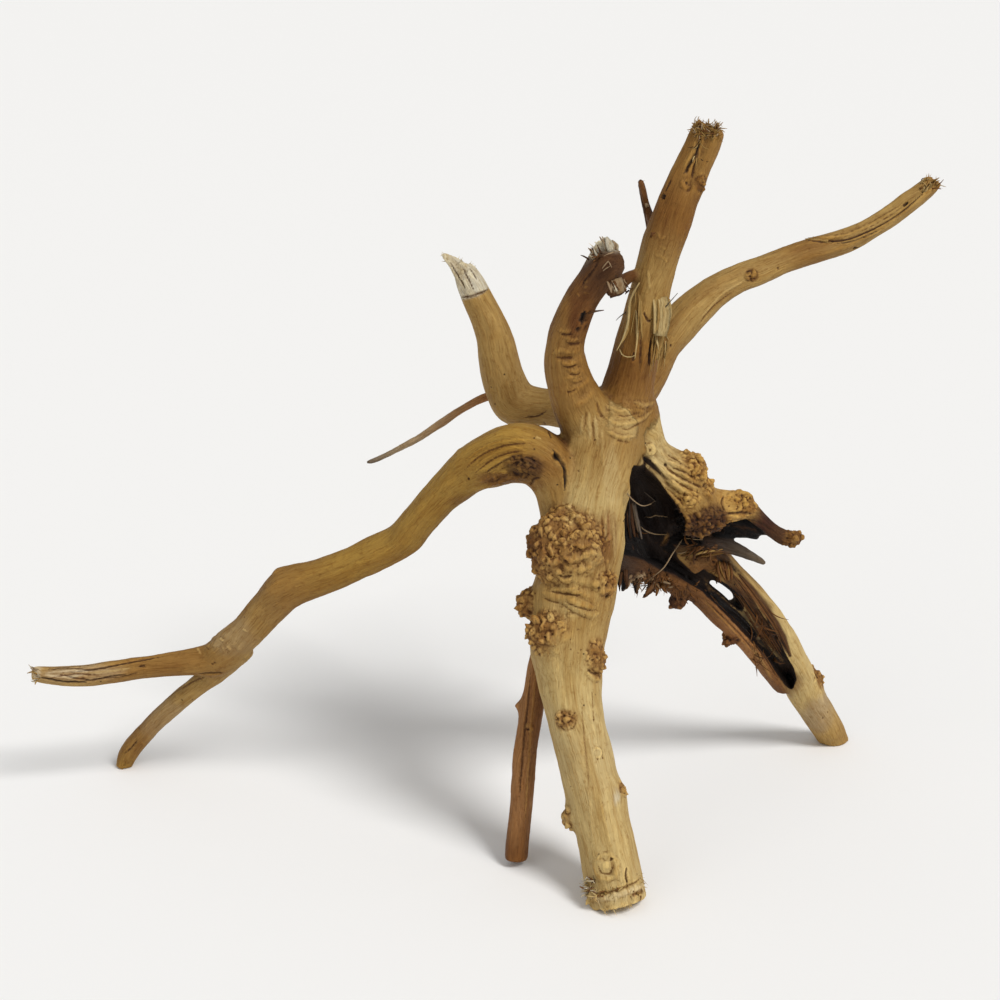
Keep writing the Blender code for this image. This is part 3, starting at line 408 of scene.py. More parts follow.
    (2.0, -2.6, "char", 1.0, [(584.5, 312), (583.5, 318), (582, 324)]),
    (1.3, -1.4, "char", 0.8, [(578, 329.5)]),
    (0.8, -0.9, "umber", 0.85, [(599, 259), (594.4, 268.3), (589, 275), (585.2, 280), (581.7, 286.7)]),
    (0.5, 0.25, "ochre", 0.5, [(583, 283), (588, 281)], [(583.5, 288), (587.5, 286.5)], [(584, 292.5),
     (589, 294)], [(577, 293), (580, 297)]),
    (0.5, -0.6, "umber", 0.8, [(553.5, 311)]),
    # Tall stub: drying cracks, pits and the wrinkles at its base
    (0.9, -1.6, "char", 1.0, [(701, 137), (698, 148), (696, 155), (690, 163.6), (684.2, 172.8)]),
    (0.7, -1.0, "umber", 0.8, [(698.5, 150), (697, 159), (694, 168), (691.5, 178.4)]),
    (1.2, 0.7, "tan", 0.5, [(695, 143), (690, 156), (684, 166)]),
    (0.8, -1.2, "umber", 0.9, [(686.9, 171)]), (0.6, -1.1, "char", 0.9, [(686.5, 183)]),
    (1.0, 0.7, None, 0, [(682, 180), (684, 187), (690, 187)]),
    (1.4, -1.8, "char", 0.95, [(663.5, 194), (661.8, 199)]),
    (0.6, -0.8, "umber", 0.8, [(665, 192), (671, 179)]),
    (0.7, 0.3, "tan", 0.35, [(657, 232), (661, 238), (666, 236)], [(660, 246), (667, 250)], [(655, 255),
     (663, 258), (668, 264)]),
    (0.6, 0.4, "straw", 0.5, [(648, 270), (650, 290)]),
    (0.7, -0.9, "umber", 0.85, [(643.5, 311.5), (648, 320.7), (652.7, 318.9)]),
    (0.8, -1.1, "char", 0.85, [(650.9, 338), (650, 352), (649.5, 366)]),
    (0.8, -1.1, "umber", 0.85, [(660.5, 336), (660, 352)]),
    (0.7, -0.9, "umber", 0.8, [(633.5, 352), (633, 362)]),
    (0.6, -0.6, "umber", 0.6, [(641, 330), (640, 372)]), (0.7, -0.9, "umber", 0.85, [(670.8, 345.3)]),
    (1.0, 0.8, "pale", 0.4, [(606, 405), (618, 411), (632, 410)]),
    (0.6, -0.5, "ochre", 0.5, [(617, 415), (627, 416), (641, 412)]),
    (1.1, 0.9, "pale", 0.4, [(603, 417), (619, 424), (637, 421), (652, 411)]),
    (0.6, -0.5, "ochre", 0.5, [(621, 428), (629, 429), (646, 420)]),
    (1.0, 0.8, "pale", 0.4, [(607, 431), (620, 437), (634, 436)]),
    (0.6, -0.4, "ochre", 0.5, [(616, 440), (630, 443)]),
    (1.0, 0.8, "pale", 0.4, [(634, 402), (644, 405), (655, 402)]),
    (0.6, -0.5, "ochre", 0.5, [(634, 407), (646, 410)]),
    (1.0, -0.7, "brown", 0.5, [(597, 402), (600, 412), (606, 420)]),
    # Left arm: flutes under the crest, its knot and the small spurs
    (0.7, 0.5, "gold", 0.5, [(534, 440), (517, 440), (495, 443.4), (482, 448.8), (466, 460)]),
    (0.6, -0.6, "brown", 0.6, [(531, 443.5), (514, 444), (496, 448), (480, 456), (464, 470)]),
    (0.7, 0.5, None, 0, [(528, 447), (508, 449), (490, 456), (474, 468)]),
    (0.6, -0.6, "brown", 0.6, [(526, 451), (508, 453), (490, 461), (474, 474)]),
    (0.7, -0.7, "umber", 0.6, [(524, 455), (510, 458), (496, 466), (484, 474)]),
    (0.7, 0.5, "brown", 0.4, [(522, 459), (508, 463), (494, 472)]),
    (0.8, -0.9, "umber", 0.75, [(536, 462), (528, 458), (519, 461), (514, 468)]),
    (0.7, 0.4, "tan", 0.3, [(530, 464), (523, 462), (517, 466)]),
    (0.6, -0.6, "umber", 0.6, [(538, 470), (530, 468), (523, 473), (520, 480)]),
    (0.8, -0.9, "umber", 0.7, [(540, 478), (534, 480), (530, 486)]),
    (0.9, -0.9, "umber", 0.85, [(468.5, 479.5)]), (0.5, -0.6, "umber", 0.8, [(461, 449)]),
    (0.6, 0.4, "straw", 0.6, [(535, 437), (541, 439)]),
    (0.5, -0.5, "umber", 0.7, [(534.5, 449)], [(534, 438)]),
    # Fork and upper prong of the left arm: drying cracks that run to its torn end
    (0.6, -0.9, "umber", 0.9, [(71, 672.2), (101.6, 668), (132, 662), (163, 656)], [(60.8, 674.3),
     (87.3, 680.4), (111.8, 676.3), (128, 674)]),
    (0.7, -1.0, "char", 0.8, [(38.4, 677.3), (60.8, 681.4), (89.4, 682.4)]),
    (0.5, -0.6, "umber", 0.8, [(46, 670), (70, 668), (95, 670)]),
    (0.7, 0.4, "bleached", 0.6, [(42, 675), (66, 677), (84, 674)]),
    (0.6, 0.4, "pale", 0.6, [(90, 673), (112, 671), (130, 668)]),
    (0.8, -0.8, "umber", 0.8, [(139, 666.5), (146, 665)]),
    (0.9, -0.6, "rust", 0.8, [(76, 679), (86, 678)]),
    (0.9, -1.0, "umber", 0.6, [(198, 674), (212, 673.5), (224, 673)]),
    (0.5, 0.4, "straw", 0.7, [(197, 648), (201, 654)]),
    (0.5, -0.5, "brown", 0.7, [(205, 645), (209, 650)]),
    (0.5, 0.4, "straw", 0.7, [(219, 638), (224, 641)], [(242, 628), (247, 632)]),
    (0.6, -0.6, "brown", 0.7, [(211, 665), (216, 662)]), (0.5, -0.5, "umber", 0.8, [(182, 700)]),
    (0.5, -0.5, "umber", 0.7, [(139, 728)]),
    (0.6, -0.5, "brown", 0.6, [(160, 702), (190, 683), (208, 676)]),
    (0.6, -0.7, "umber", 0.7, [(124, 754), (131, 748), (138, 740)]),
    # Right arm: its split end and knots
    (0.8, -1.3, "umber", 0.95, [(808, 240.5), (826, 241.5), (850, 238), (876, 227), (900, 213),
     (922, 194)]),
    (0.8, 0.9, "tan", 0.7, [(812, 237), (830, 237.5), (852, 233.5), (876, 222), (900, 207)]),
    (0.5, -0.6, "char", 0.7, [(836, 243.5), (856, 240), (880, 230)]),
    (0.6, 0.5, "tan", 0.6, [(846, 244), (872, 235), (898, 220)]),
    (0.9, -1.3, "char", 0.9, [(853, 249), (859, 248)], [(903, 206), (908, 202)]),
    (0.8, -1.4, "char", 0.9, [(921, 193), (929, 185), (934, 181)]),
    (0.9, -0.7, "umber", 0.7, [(746, 273), (752, 270)]), (0.6, -0.6, "umber", 0.7, [(778, 268)]),
    (0.6, 0.4, "straw", 0.5, [(700, 318), (722, 294), (745, 280)]),
    (0.5, -0.4, "brown", 0.6, [(697, 326), (714, 306), (735, 290)]),
    # More cracks of the bleached upper prong
    (0.5, -0.7, "umber", 0.8, [(48, 668), (78, 666), (104, 663)]),
    (0.5, -0.6, "brown", 0.8, [(50, 678), (74, 674), (98, 675)]),
    (0.5, -0.6, "umber", 0.7, [(96, 679), (120, 677), (142, 672)]),
    (0.5, 0.4, "bleached", 0.6, [(46, 673), (70, 671), (92, 671)]),
    # Back stub and its grey broken end
    (0.7, -0.8, "rot", 0.8, [(460, 297.5), (470, 296.5), (480, 293), (488, 289.5)]),
    (0.5, -0.8, "umber", 0.8, [(450, 262), (458, 276), (466, 290)]),
    (0.5, -0.7, "umber", 0.7, [(462, 266), (469, 280), (474, 290)]),
    (0.5, -0.6, "grey", 0.8, [(470, 268), (477, 280)]), (0.5, -0.5, "umber", 0.8, [(495, 404)]),
    (0.7, -0.7, "umber", 0.6, [(524, 418), (538, 416), (546, 411)]),
    # Back leg
    (0.7, -0.6, "umber", 0.7, [(531, 672), (524, 740), (519, 800)]),
    (0.6, 0.5, "tan", 0.5, [(536, 670), (530, 740), (525, 820)]),
    (0.8, 0.6, "tan", 0.6, [(525, 728), (528, 725), (531, 729), (528, 733)]),
    (0.6, -0.9, "char", 0.9, [(528, 729.5)]),
    # Hollow leg: knots of the lower strand and the pit where the hollow ends
    (3.9, -0.2, "umber", 1.0, [(722, 568), (745, 598), (765, 628), (782, 656)]),
    (2.7, -0.2, "umber", 1.0, [(740, 575), (756, 596), (777, 627), (790, 656)]),
    (0.7, -0.8, "char", 0.9, [(735, 570), (752, 592), (774, 624), (790, 656)]),
    (0.6, -0.8, "char", 0.9, [(726, 566), (745, 590), (766, 622), (784, 656)]),
    (0.6, 0.5, "brown", 0.7, [(733, 572), (756, 602), (778, 640)]),
    (2.4, -0.2, "char", 0.8, [(718, 578), (741, 612), (762, 642), (780, 668)]),
    (2.2, -2.4, "char", 1.0, [(787.5, 674), (789, 679)]), (1.0, -1.2, "char", 0.8, [(682, 599)]),
    (0.8, -1.0, "umber", 0.9, [(690, 603)]), (0.8, -1.1, "char", 0.8, [(730, 640)]),
    (0.7, -0.9, "umber", 0.8, [(736, 644)]), (0.7, 0.6, None, 0, [(812, 672), (816, 678), (813, 684)]),
    (0.6, -0.8, "umber", 0.7, [(815, 672), (819, 679)]),
    (0.5, -0.5, "brown", 0.7, [(823, 718)], [(828, 712)]),
    (0.7, -0.6, "umber", 0.6, [(700, 596), (728, 622), (752, 648), (768, 672)]),
    (0.6, 0.5, "ochre", 0.7, [(704, 600), (730, 627), (752, 652)]),
    (0.8, 0.6, "tan", 0.6, [(752, 648), (762, 662), (772, 680)]),
    (0.5, -0.5, "umber", 0.7, [(756, 646), (767, 661), (778, 679)]),
]


def rgb(code):
    """Linear colour of an sRGB hex value."""
    parts = [int(code[i:i + 2], 16) / 255 for i in (1, 3, 5)]
    return [c / 12.92 if c <= 0.04045 else ((c + 0.055) / 1.055) ** 2.4 for c in parts]


def curve_points(stations, step):
    """Catmull-Rom curve through the stations' numbers, sampled every step mm."""
    points = np.array(stations, dtype=float)
    padded = np.vstack([2 * points[0] - points[1], points, 2 * points[-1] - points[-2]])
    result = []
    for i in range(1, len(padded) - 2):
        p0, p1, p2, p3 = padded[i - 1:i + 3]
        count = max(1, round(np.linalg.norm(p2[:3] - p1[:3]) / step))
        for k in range(count):
            t = k / count
            result.append(0.5 * (2 * p1 + (p2 - p0) * t + (2 * p0 - 5 * p1 + 4 * p2 - p3) * t ** 2
                                 + (3 * p1 - p0 - 3 * p2 + p3) * t ** 3))
    result.append(points[-1])
    return np.array(result)


def smoothstep(low, high, values):
    """0 at low, 1 at high, smooth between; low may be the larger."""
    t = np.clip((values - low) / (high - low), 0.0, 1.0)
    return t * t * (3 - 2 * t)


def bake(piece):
    """Makes the piece's modifiers into its mesh."""
    bpy.context.view_layer.update()
    graph = bpy.context.evaluated_depsgraph_get()
    mesh = bpy.data.meshes.new_from_object(piece.evaluated_get(graph))
    piece.modifiers.clear()
    piece.data = mesh


def positions(mesh):
    """Vertex positions of the mesh in mm, in the tables' frame."""
    flat = np.zeros(len(mesh.vertices) * 3)
    mesh.vertices.foreach_get("co", flat)
    return flat.reshape(-1, 3) / MM - np.array(SHIFT)


def set_attribute(mesh, name, kind, values):
    """Stores one value for each vertex."""
    attribute = mesh.attributes.get(name) or mesh.attributes.new(name, kind, "POINT")
    field = {"FLOAT": "value", "FLOAT_VECTOR": "vector", "FLOAT_COLOR": "color"}[kind]
    attribute.data.foreach_set(field, np.ascontiguousarray(values, dtype=np.float32).ravel())


class GrainLine:
    """Samples of one limb's centre line, each with a frame that doesn't twist."""

    def __init__(self, group, stations, number):
        colours = np.array([rgb(FINISHES[s[4]][0]) for s in stations])
        weathered = np.array([[FINISHES[s[4]][1]] for s in stations])
        table = np.hstack([np.array([s[:4] for s in stations], dtype=float), colours, weathered])
        self.group = group
        samples = curve_points(table, LINE_STEP)
        self.centre = samples[:, :3]
        self.radius = samples[:, 3]
        self.colour = np.clip(samples[:, 4:7], 0.002, 1)
        self.weathered = np.clip(samples[:, 7], 0, 1)
        ahead = np.gradient(self.centre, axis=0)
        self.tangent = ahead / np.linalg.norm(ahead, axis=1)[:, None]
        self.along = np.concatenate([[0], np.cumsum(np.linalg.norm(np.diff(self.centre, axis=0), axis=1))])
        self.along += number * 137.0
        side = np.array(Vector(self.tangent[0]).orthogonal().normalized())
        sides = []
        for tangent in self.tangent:
            side = side - tangent * side.dot(tangent)
            side = side / np.linalg.norm(side)
            sides.append(side)
        self.side = np.array(sides)
        self.up = np.cross(self.tangent, self.side)


lines = [GrainLine(group, stations, i) for i, (group, stations) in enumerate(LINES.values())]


def nearest_on_lines(points, group):
    """For each point the grain coordinates, gap, colour and weathering of the nearest limb."""
    members = [line for line in lines if line.group == group]
    join = {key: np.concatenate([getattr(line, key) for line in members])
            for key in ("centre", "radius", "colour", "weathered", "tangent", "along", "side", "up")}
    best = np.zeros(len(points), dtype=int)
    gap = np.zeros(len(points))
    for start in range(0, len(points), 20000):
        chunk = points[start:start + 20000]
        squares = ((chunk ** 2).sum(1)[:, None] + (join["centre"] ** 2).sum(1)[None, :]
                   - 2 * chunk @ join["centre"].T)
        distance = np.sqrt(np.maximum(squares, 0)) - join["radius"][None, :]
        best[start:start + 20000] = distance.argmin(1)
        gap[start:start + 20000] = distance.min(1)
    offset = points - join["centre"][best]
    coords = np.stack([
        (offset * join["side"][best]).sum(1),
        (offset * join["up"][best]).sum(1),
        (offset * join["tangent"][best]).sum(1) + join["along"][best],
    ], axis=1)
    return coords, gap, join["colour"][best], join["weathered"][best]


WARP_CELL = 3.0


def warp_field(points, size, amount):
    """A smooth wander for each point, in waves of the given size, worked out once for each coarse cell."""
    cells, inverse = np.unique(np.round(points / WARP_CELL).astype(int), axis=0, return_inverse=True)
    vectors = np.array([noise.noise_vector(Vector(c * WARP_CELL / size)) for c in cells])
    return vectors[inverse.ravel()] * amount


# Skin: the solid with its facets rounded off
bm = bmesh.new()
bm.from_mesh(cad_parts["driftwood"].data)
bmesh.ops.remove_doubles(bm, verts=bm.verts[:], dist=1e-6)
mesh = bpy.data.meshes.new("wood")
bm.to_mesh(mesh)
bm.free()
wood = bpy.data.objects.new("wood", mesh)
bpy.context.scene.collection.objects.link(wood)
rounding = wood.modifiers.new("rounding", "SUBSURF")
rounding.levels = 2
rounding.render_levels = 2
bake(wood)
fuse = wood.modifiers.new("fuse", "REMESH")
fuse.mode = "VOXEL"
fuse.voxel_size = SKIN_VOXEL * MM
bake(wood)
ease = wood.modifiers.new("ease", "SMOOTH")
ease.factor = 0.5
ease.iterations = 2
bake(wood)
skin_tree = BVHTree.FromObject(wood, bpy.context.evaluated_depsgraph_get())


SEARCH = (0, 1.5, 3, 4.5, 6, 8, 10, 14, 20)


def on_skin(px, py):
    """The wood seen at a point of the picture, or at the nearest of the rings around it in pixels that meet
    wood: its place in mm and its distance from the camera in metres."""
    for reach in SEARCH:
        for turn in range(1 if reach == 0 else 12):
            angle = math.radians(turn * 30)
            ray = sight(px + reach * math.cos(angle), py + reach * math.sin(angle))
            spot, normal, face, distance = skin_tree.ray_cast(CAMERA_SPOT, ray)
            if spot is not None:
                return np.array(spot) / MM - np.array(SHIFT), distance
    raise ValueError("no wood near " + str((px, py)))


def along_picture(points, step):
    """Points of a smooth line in the picture, every step pixels."""
    if len(points) == 1:
        return [points[0]]
    return [tuple(p[:2]) for p in curve_points([(x, y, 0.0) for x, y in points], step)]


def tinted(colour, finish, share):
    """The colours mixed with a finish, each by its own share."""
    return colour * (1 - share)[:, None] + np.array(rgb(FINISHES[finish][0])) * share[:, None]


def near_line(points, path, reach):
    """Points within reach of a path: their numbers, distances and share along the path."""
    path = np.array(path)
    inside = np.nonzero(((points > path.min(0) - reach) & (points < path.max(0) + reach)).all(1))[0]
    local = points[inside]
    distance = np.full(len(inside), 1e9)
    along = np.zeros(len(inside))
    for number, sample in enumerate(path):
        gap = np.linalg.norm(local - sample, axis=1)
        closer = gap < distance
        distance[closer] = gap[closer]
        along[closer] = number / max(len(path) - 1, 1)
    keep = distance < reach
    return inside[keep], distance[keep], along[keep]


points = positions(wood.data)
fields = [nearest_on_lines(points, group) for group in (0, 1)]
mix = smoothstep(-BLEND_WIDTH / 2, BLEND_WIDTH / 2, fields[0][1] - fields[1][1])
wander = warp_field(points, 24.0, 1.6) + warp_field(points, 8.0, 0.45)
colour = fields[0][2] * (1 - mix)[:, None] + fields[1][2] * mix[:, None]
weathered = fields[0][3] * (1 - mix) + fields[1][3] * mix
burl = np.zeros(len(points))
detail = np.zeros(len(points))
for centre, sizes, finish in BURLS:
    reach = np.linalg.norm((points - np.array(centre)) / np.array(sizes), axis=1)
    share = smoothstep(*BURL_REACH, reach)
    colour = tinted(colour, finish, share * BURL_TINT)
    burl = np.maximum(burl, share)
detail = np.maximum(detail, burl)
ragged = warp_field(points, 9.0, 0.30)[:, 0]

# The grey broken end of the back stub, which starts at a sharp slanting edge
BROKEN = {"edge": (-1.5, 42, 236.2), "way": (-0.42, 0.0, 0.91), "reach": 30, "weathered": 0.9}
broken = points - np.array(BROKEN["edge"])
past = broken @ np.array(BROKEN["way"])
share = smoothstep(-0.6, 0.6, past + ragged * 3) * (np.linalg.norm(broken, axis=1) < BROKEN["reach"])
colour = tinted(colour, "bleached", share)
weathered = np.maximum(weathered, share * BROKEN["weathered"])

for px, py, half_width, half_height, finish, strength in STAINS:
    spot = on_skin(px, py)[0]
    sizes = np.array((half_width * PIXEL_SPAN, STAIN_DEPTH, half_height * PIXEL_SPAN))
    reach = np.linalg.norm((points - spot) / sizes, axis=1) + ragged
    share = smoothstep(1.25, 0.6, reach) * strength
    colour = tinted(colour, finish, share)
    weathered = weathered * (1 - share * 0.7) + share * 0.7 * FINISHES[finish][1]

for px, py, half_width, half_height, amount in ROUGH:
    spot = on_skin(px, py)[0]
    sizes = np.array((half_width * PIXEL_SPAN, ROUGH_DEPTH, half_height * PIXEL_SPAN))
    reach = np.linalg.norm((points - spot) / sizes, axis=1) + ragged
    burl = np.maximum(burl, smoothstep(1.2, 0.7, reach) * amount)
detail = np.maximum(detail, np.minimum(burl * 1.5, 1))

# How far each point lies in a hollow; the material darkens it where it is enclosed: painted shade over dark rot.
hollow = np.zeros(len(points))
for stations in HOLLOWS:
    for sample in curve_points(stations, 3.0):
        gap = np.linalg.norm(points - sample[:3], axis=1) / sample[3]
        hollow = np.maximum(hollow, smoothstep(1.15, 0.85, gap))

marks = [(*row[:4], trail) for row in MARKS for trail in row[4:]]
dice = np.random.RandomState(23)
for px, py, half_w, half_h, count, half_width, height, finish in SPECKS:
    for x, y in dice.uniform(-1, 1, (count, 2)) * (half_w, half_h) + (px, py):
        marks.append((half_width * dice.uniform(0.6, 1.3), height, finish, SPECK_STRENGTH, [(x, y)]))
mark_height = np.zeros(len(points))
for half_width, height, finish, strength, trail in marks:
    shape = RAISED_MARK if height > 0 else SUNK_MARK
    path = [on_skin(x, y)[0] for x, y in along_picture(trail, 1.2)]
    found, distance, along = near_line(points, path, half_width * 1.8)
    if not len(found):
        continue
    jitter = np.array([noise.noise(Vector(points[i]) * min(0.55, 0.5 / half_width)) for i in found])
    distance = distance * (1 + MARK_JITTER * jitter)
    taper = np.ones(len(found))
    if len(trail) > 1:
        taper = np.sqrt(np.clip(np.minimum(along, 1 - along) * 5, 0.12, 1))
    reach = distance / (half_width * taper * shape["reach"])
    mark_height[found] += height * shape["height"] * taper * np.clip(1 - reach ** 2, 0, 1) ** 2
    detail[found] = 1
    if finish:
        gain = WIDE_MARK["tint"] if half_width > WIDE_MARK["from"] else shape["tint"]
        share = smoothstep(0.95, 0.30, reach) * strength * (1 + MARK_JITTER * jitter) * gain
        colour[found] = tinted(colour[found], finish, np.clip(share, 0, 1))
set_attribute(wood.data, "grain_a", "FLOAT_VECTOR", (fields[0][0] + wander) * MM)
set_attribute(wood.data, "grain_b", "FLOAT_VECTOR", (fields[1][0] + wander) * MM)
set_attribute(wood.data, "grain_mix", "FLOAT", mix)
set_attribute(wood.data, "tint", "FLOAT_COLOR", np.hstack([colour, np.ones((len(points), 1))]))
set_attribute(wood.data, "weathered", "FLOAT", weathered)
set_attribute(wood.data, "burl", "FLOAT", burl)
set_attribute(wood.data, "hollow", "FLOAT", hollow)
set_attribute(wood.data, "mark", "FLOAT", mark_height * MM)

# Relief sizes in mm: flutes along the grain, knobs of the burls and broad lumps. The rays that find how
# enclosed a point is start a little off the skin and fan out by turns of the golden angle.
FLUTE = {"width": 2.8, "length": 42.0, "depth": 0.42}
KNOB = {"size": 3.5, "depth": 2.05, "warp": 1.8}
LUMP = {"size": 10.0, "depth": 0.8}
ENCLOSED = {"rays": 22, "reach": 42.0, "start": 0.5, "slant": 0.96, "turn": 2.39996}


def add_node(tree, kind, inputs=None, **settings):
    """One node with its settings; an input given a socket is linked, any other gets that value."""
    made = tree.nodes.new(kind)
    for name, value in settings.items():
        setattr(made, name, value)
    for name, value in (inputs or {}).items():
        if isinstance(value, bpy.types.NodeSocket):
            tree.links.new(value, made.inputs[name])
        else:
            made.inputs[name].default_value = value
    return made


def knob_height(tree, coords, size, warp):
    """Curly knobs of uneven height with smooth wood between them, from 0 to 1."""
    wobble = add_node(tree, "ShaderNodeTexNoise",
                      {"Vector": coords, "Scale": 0.55 / (size * MM), "Detail": 2.0})
    shifted = add_node(tree, "ShaderNodeVectorMath", {0: wobble.outputs["Color"], 1: (0.5, 0.5, 0.5)},
                       operation="SUBTRACT")
    push = add_node(tree, "ShaderNodeVectorMath", {0: shifted.outputs[0], "Scale": warp * 4 * MM},
                    operation="SCALE")
    warped = add_node(tree, "ShaderNodeVectorMath", {0: coords, 1: push.outputs[0]}, operation="ADD")
    cells = add_node(tree, "ShaderNodeTexVoronoi", {"Vector": warped.outputs[0], "Scale": 1 / (size * MM)},
                     feature="F1")
    dome = add_node(tree, "ShaderNodeMapRange",
                    {"Value": cells.outputs["Distance"], 1: 0.62, 2: 0.12, 3: 0.0, 4: 1.0},
                    interpolation_type="SMOOTHSTEP")
    pick = add_node(tree, "ShaderNodeSeparateXYZ", {0: cells.outputs["Color"]})
    lift = add_node(tree, "ShaderNodeMapRange", {"Value": pick.outputs[0], 1: 0.1, 2: 0.8, 3: 0.25, 4: 1.0})
    return add_node(tree, "ShaderNodeMath",
                    {0: dome.outputs[0], 1: lift.outputs[0]}, operation="MULTIPLY").outputs[0]


def along_grain(tree, coords_a, coords_b, mix, width, length, detail=3.0, rough=0.55):
    """Noise drawn out along the grain of the nearest limbs."""
    results = []
    for coords in (coords_a, coords_b):
        scaled = add_node(tree, "ShaderNodeVectorMath",
                          {0: coords, 1: (1 / (width * MM), 1 / (width * MM), 1 / (length * MM))},
                          operation="MULTIPLY")
        results.append(add_node(
            tree, "ShaderNodeTexNoise",
            {"Vector": scaled.outputs[0], "Scale": 1.0, "Detail": detail, "Roughness": rough},
        ))
    return add_node(tree, "ShaderNodeMix",
                    {"Factor": mix, 2: results[0].outputs["Fac"], 3: results[1].outputs["Fac"]},
                    data_type="FLOAT").outputs[0]


relief = bpy.data.node_groups.new("grown relief", "GeometryNodeTree")
relief.interface.new_socket("Geometry", in_out="INPUT", socket_type="NodeSocketGeometry")
for name in ("Flute Depth", "Knob Depth", "Lump Depth", "Reach"):
    relief.interface.new_socket(name, in_out="INPUT", socket_type="NodeSocketFloat")
relief.interface.new_socket("Geometry", in_out="OUTPUT", socket_type="NodeSocketGeometry")
start = add_node(relief, "NodeGroupInput")
spot = add_node(relief, "GeometryNodeInputPosition").outputs[0]
normal = add_node(relief, "GeometryNodeInputNormal").outputs[0]
stored = {}
for name, kind in (("grain_a", "FLOAT_VECTOR"), ("grain_b", "FLOAT_VECTOR"), ("grain_mix", "FLOAT"),
                   ("burl", "FLOAT"), ("weathered", "FLOAT"), ("mark", "FLOAT"), ("enclosed", "FLOAT")):
    stored[name] = add_node(relief, "GeometryNodeInputNamedAttribute",
                            {"Name": name}, data_type=kind).outputs["Attribute"]

# How enclosed each point is: the share of short rays that meet the wood again
lifted = add_node(relief, "ShaderNodeVectorMath", {0: normal, "Scale": ENCLOSED["start"] * MM},
                  operation="SCALE")
source = add_node(relief, "ShaderNodeVectorMath", {0: spot, 1: lifted.outputs[0]}, operation="ADD")
total = 0.0
for number in range(ENCLOSED["rays"]):
    rise = 1 - 2 * (number + 0.5) / ENCLOSED["rays"]
    turn = number * ENCLOSED["turn"]
    flat = math.sqrt(1 - rise * rise) * ENCLOSED["slant"]
    fan = (math.cos(turn) * flat, math.sin(turn) * flat, rise * ENCLOSED["slant"])
    aim = add_node(relief, "ShaderNodeVectorMath", {0: normal, 1: fan}, operation="ADD")
    ray = add_node(relief, "GeometryNodeRaycast",
                   {"Target Geometry": start.outputs["Geometry"], "Source Position": source.outputs[0],
                    "Ray Direction": aim.outputs[0], "Ray Length": start.outputs["Reach"]})
    close = add_node(relief, "ShaderNodeMath", {0: ray.outputs["Hit Distance"], 1: start.outputs["Reach"]},
                     operation="DIVIDE")
    weight = add_node(relief, "ShaderNodeMath", {0: 1.0, 1: close.outputs[0]}, operation="SUBTRACT")
    share = add_node(relief, "ShaderNodeMath", {0: weight.outputs[0], 1: 0.4}, operation="POWER")
    total = add_node(relief, "ShaderNodeMath", {0: ray.outputs["Is Hit"], 1: share.outputs[0], 2: total},
                     operation="MULTIPLY_ADD").outputs[0]
enclosed = add_node(relief, "ShaderNodeMath", {0: total, 1: ENCLOSED["rays"]}, operation="DIVIDE")
kept = add_node(relief, "GeometryNodeStoreNamedAttribute",
                {"Geometry": start.outputs["Geometry"], "Name": "enclosed", "Value": enclosed.outputs[0]},
                data_type="FLOAT", domain="POINT")

# The relief itself
grain = (stored["grain_a"], stored["grain_b"], stored["grain_mix"])
flutes = along_grain(relief, *grain, FLUTE["width"], FLUTE["length"])
flutes = add_node(relief, "ShaderNodeMath", {0: flutes, 1: 0.5}, operation="SUBTRACT")
rough_share = add_node(relief, "ShaderNodeMath", {0: stored["weathered"], 1: stored["enclosed"]},
                       operation="ADD")
flute_scale = add_node(relief, "ShaderNodeMath", {0: rough_share.outputs[0], 1: 2.4, 2: 0.8},
                       operation="MULTIPLY_ADD")
flutes = add_node(relief, "ShaderNodeMath", {0: flutes.outputs[0], 1: flute_scale.outputs[0]},
                  operation="MULTIPLY")
flutes = add_node(relief, "ShaderNodeMath", {0: flutes.outputs[0], 1: start.outputs["Flute Depth"]},
                  operation="MULTIPLY")
knobs = knob_height(relief, spot, KNOB["size"], KNOB["warp"])
small_knobs = knob_height(relief, spot, KNOB["size"] * 0.52, KNOB["warp"] * 0.6)
knobs = add_node(relief, "ShaderNodeMath", {0: small_knobs, 1: 0.32, 2: knobs}, operation="MULTIPLY_ADD")
knobs = add_node(relief, "ShaderNodeMath", {0: knobs.outputs[0], 1: 0.3}, operation="SUBTRACT")
knobs = add_node(relief, "ShaderNodeMath", {0: knobs.outputs[0], 1: stored["burl"]}, operation="MULTIPLY")
knobs = add_node(relief, "ShaderNodeMath",
                 {0: knobs.outputs[0], 1: start.outputs["Knob Depth"], 2: flutes.outputs[0]},
                 operation="MULTIPLY_ADD")
lumps = add_node(relief, "ShaderNodeTexNoise",
                 {"Vector": spot, "Scale": 1 / (LUMP["size"] * MM), "Detail": 3.0})
lumps = add_node(relief, "ShaderNodeMath", {0: lumps.outputs["Fac"], 1: 0.5}, operation="SUBTRACT")
lumps = add_node(relief, "ShaderNodeMath",
                 {0: lumps.outputs[0], 1: start.outputs["Lump Depth"], 2: knobs.outputs[0]},
                 operation="MULTIPLY_ADD")
height = add_node(relief, "ShaderNodeMath", {0: lumps.outputs[0], 1: stored["mark"]}, operation="ADD")
offset = add_node(relief, "ShaderNodeVectorMath", {0: normal, "Scale": height.outputs[0]},
                  operation="SCALE")
moved = add_node(relief, "GeometryNodeSetPosition",
                 {"Geometry": kept.outputs[0], "Offset": offset.outputs[0]})
add_node(relief, "NodeGroupOutput", {"Geometry": moved.outputs[0]})


def run_tree(piece, tree, values):
    """Runs a geometry tree on the piece with its named inputs set, and makes the result its mesh."""
    modifier = piece.modifiers.new(tree.name, "NODES")
    modifier.node_group = tree
    for socket in tree.interface.items_tree:
        if socket.in_out == "INPUT" and socket.name in values:
            modifier[socket.identifier] = values[socket.name]
    bake(piece)


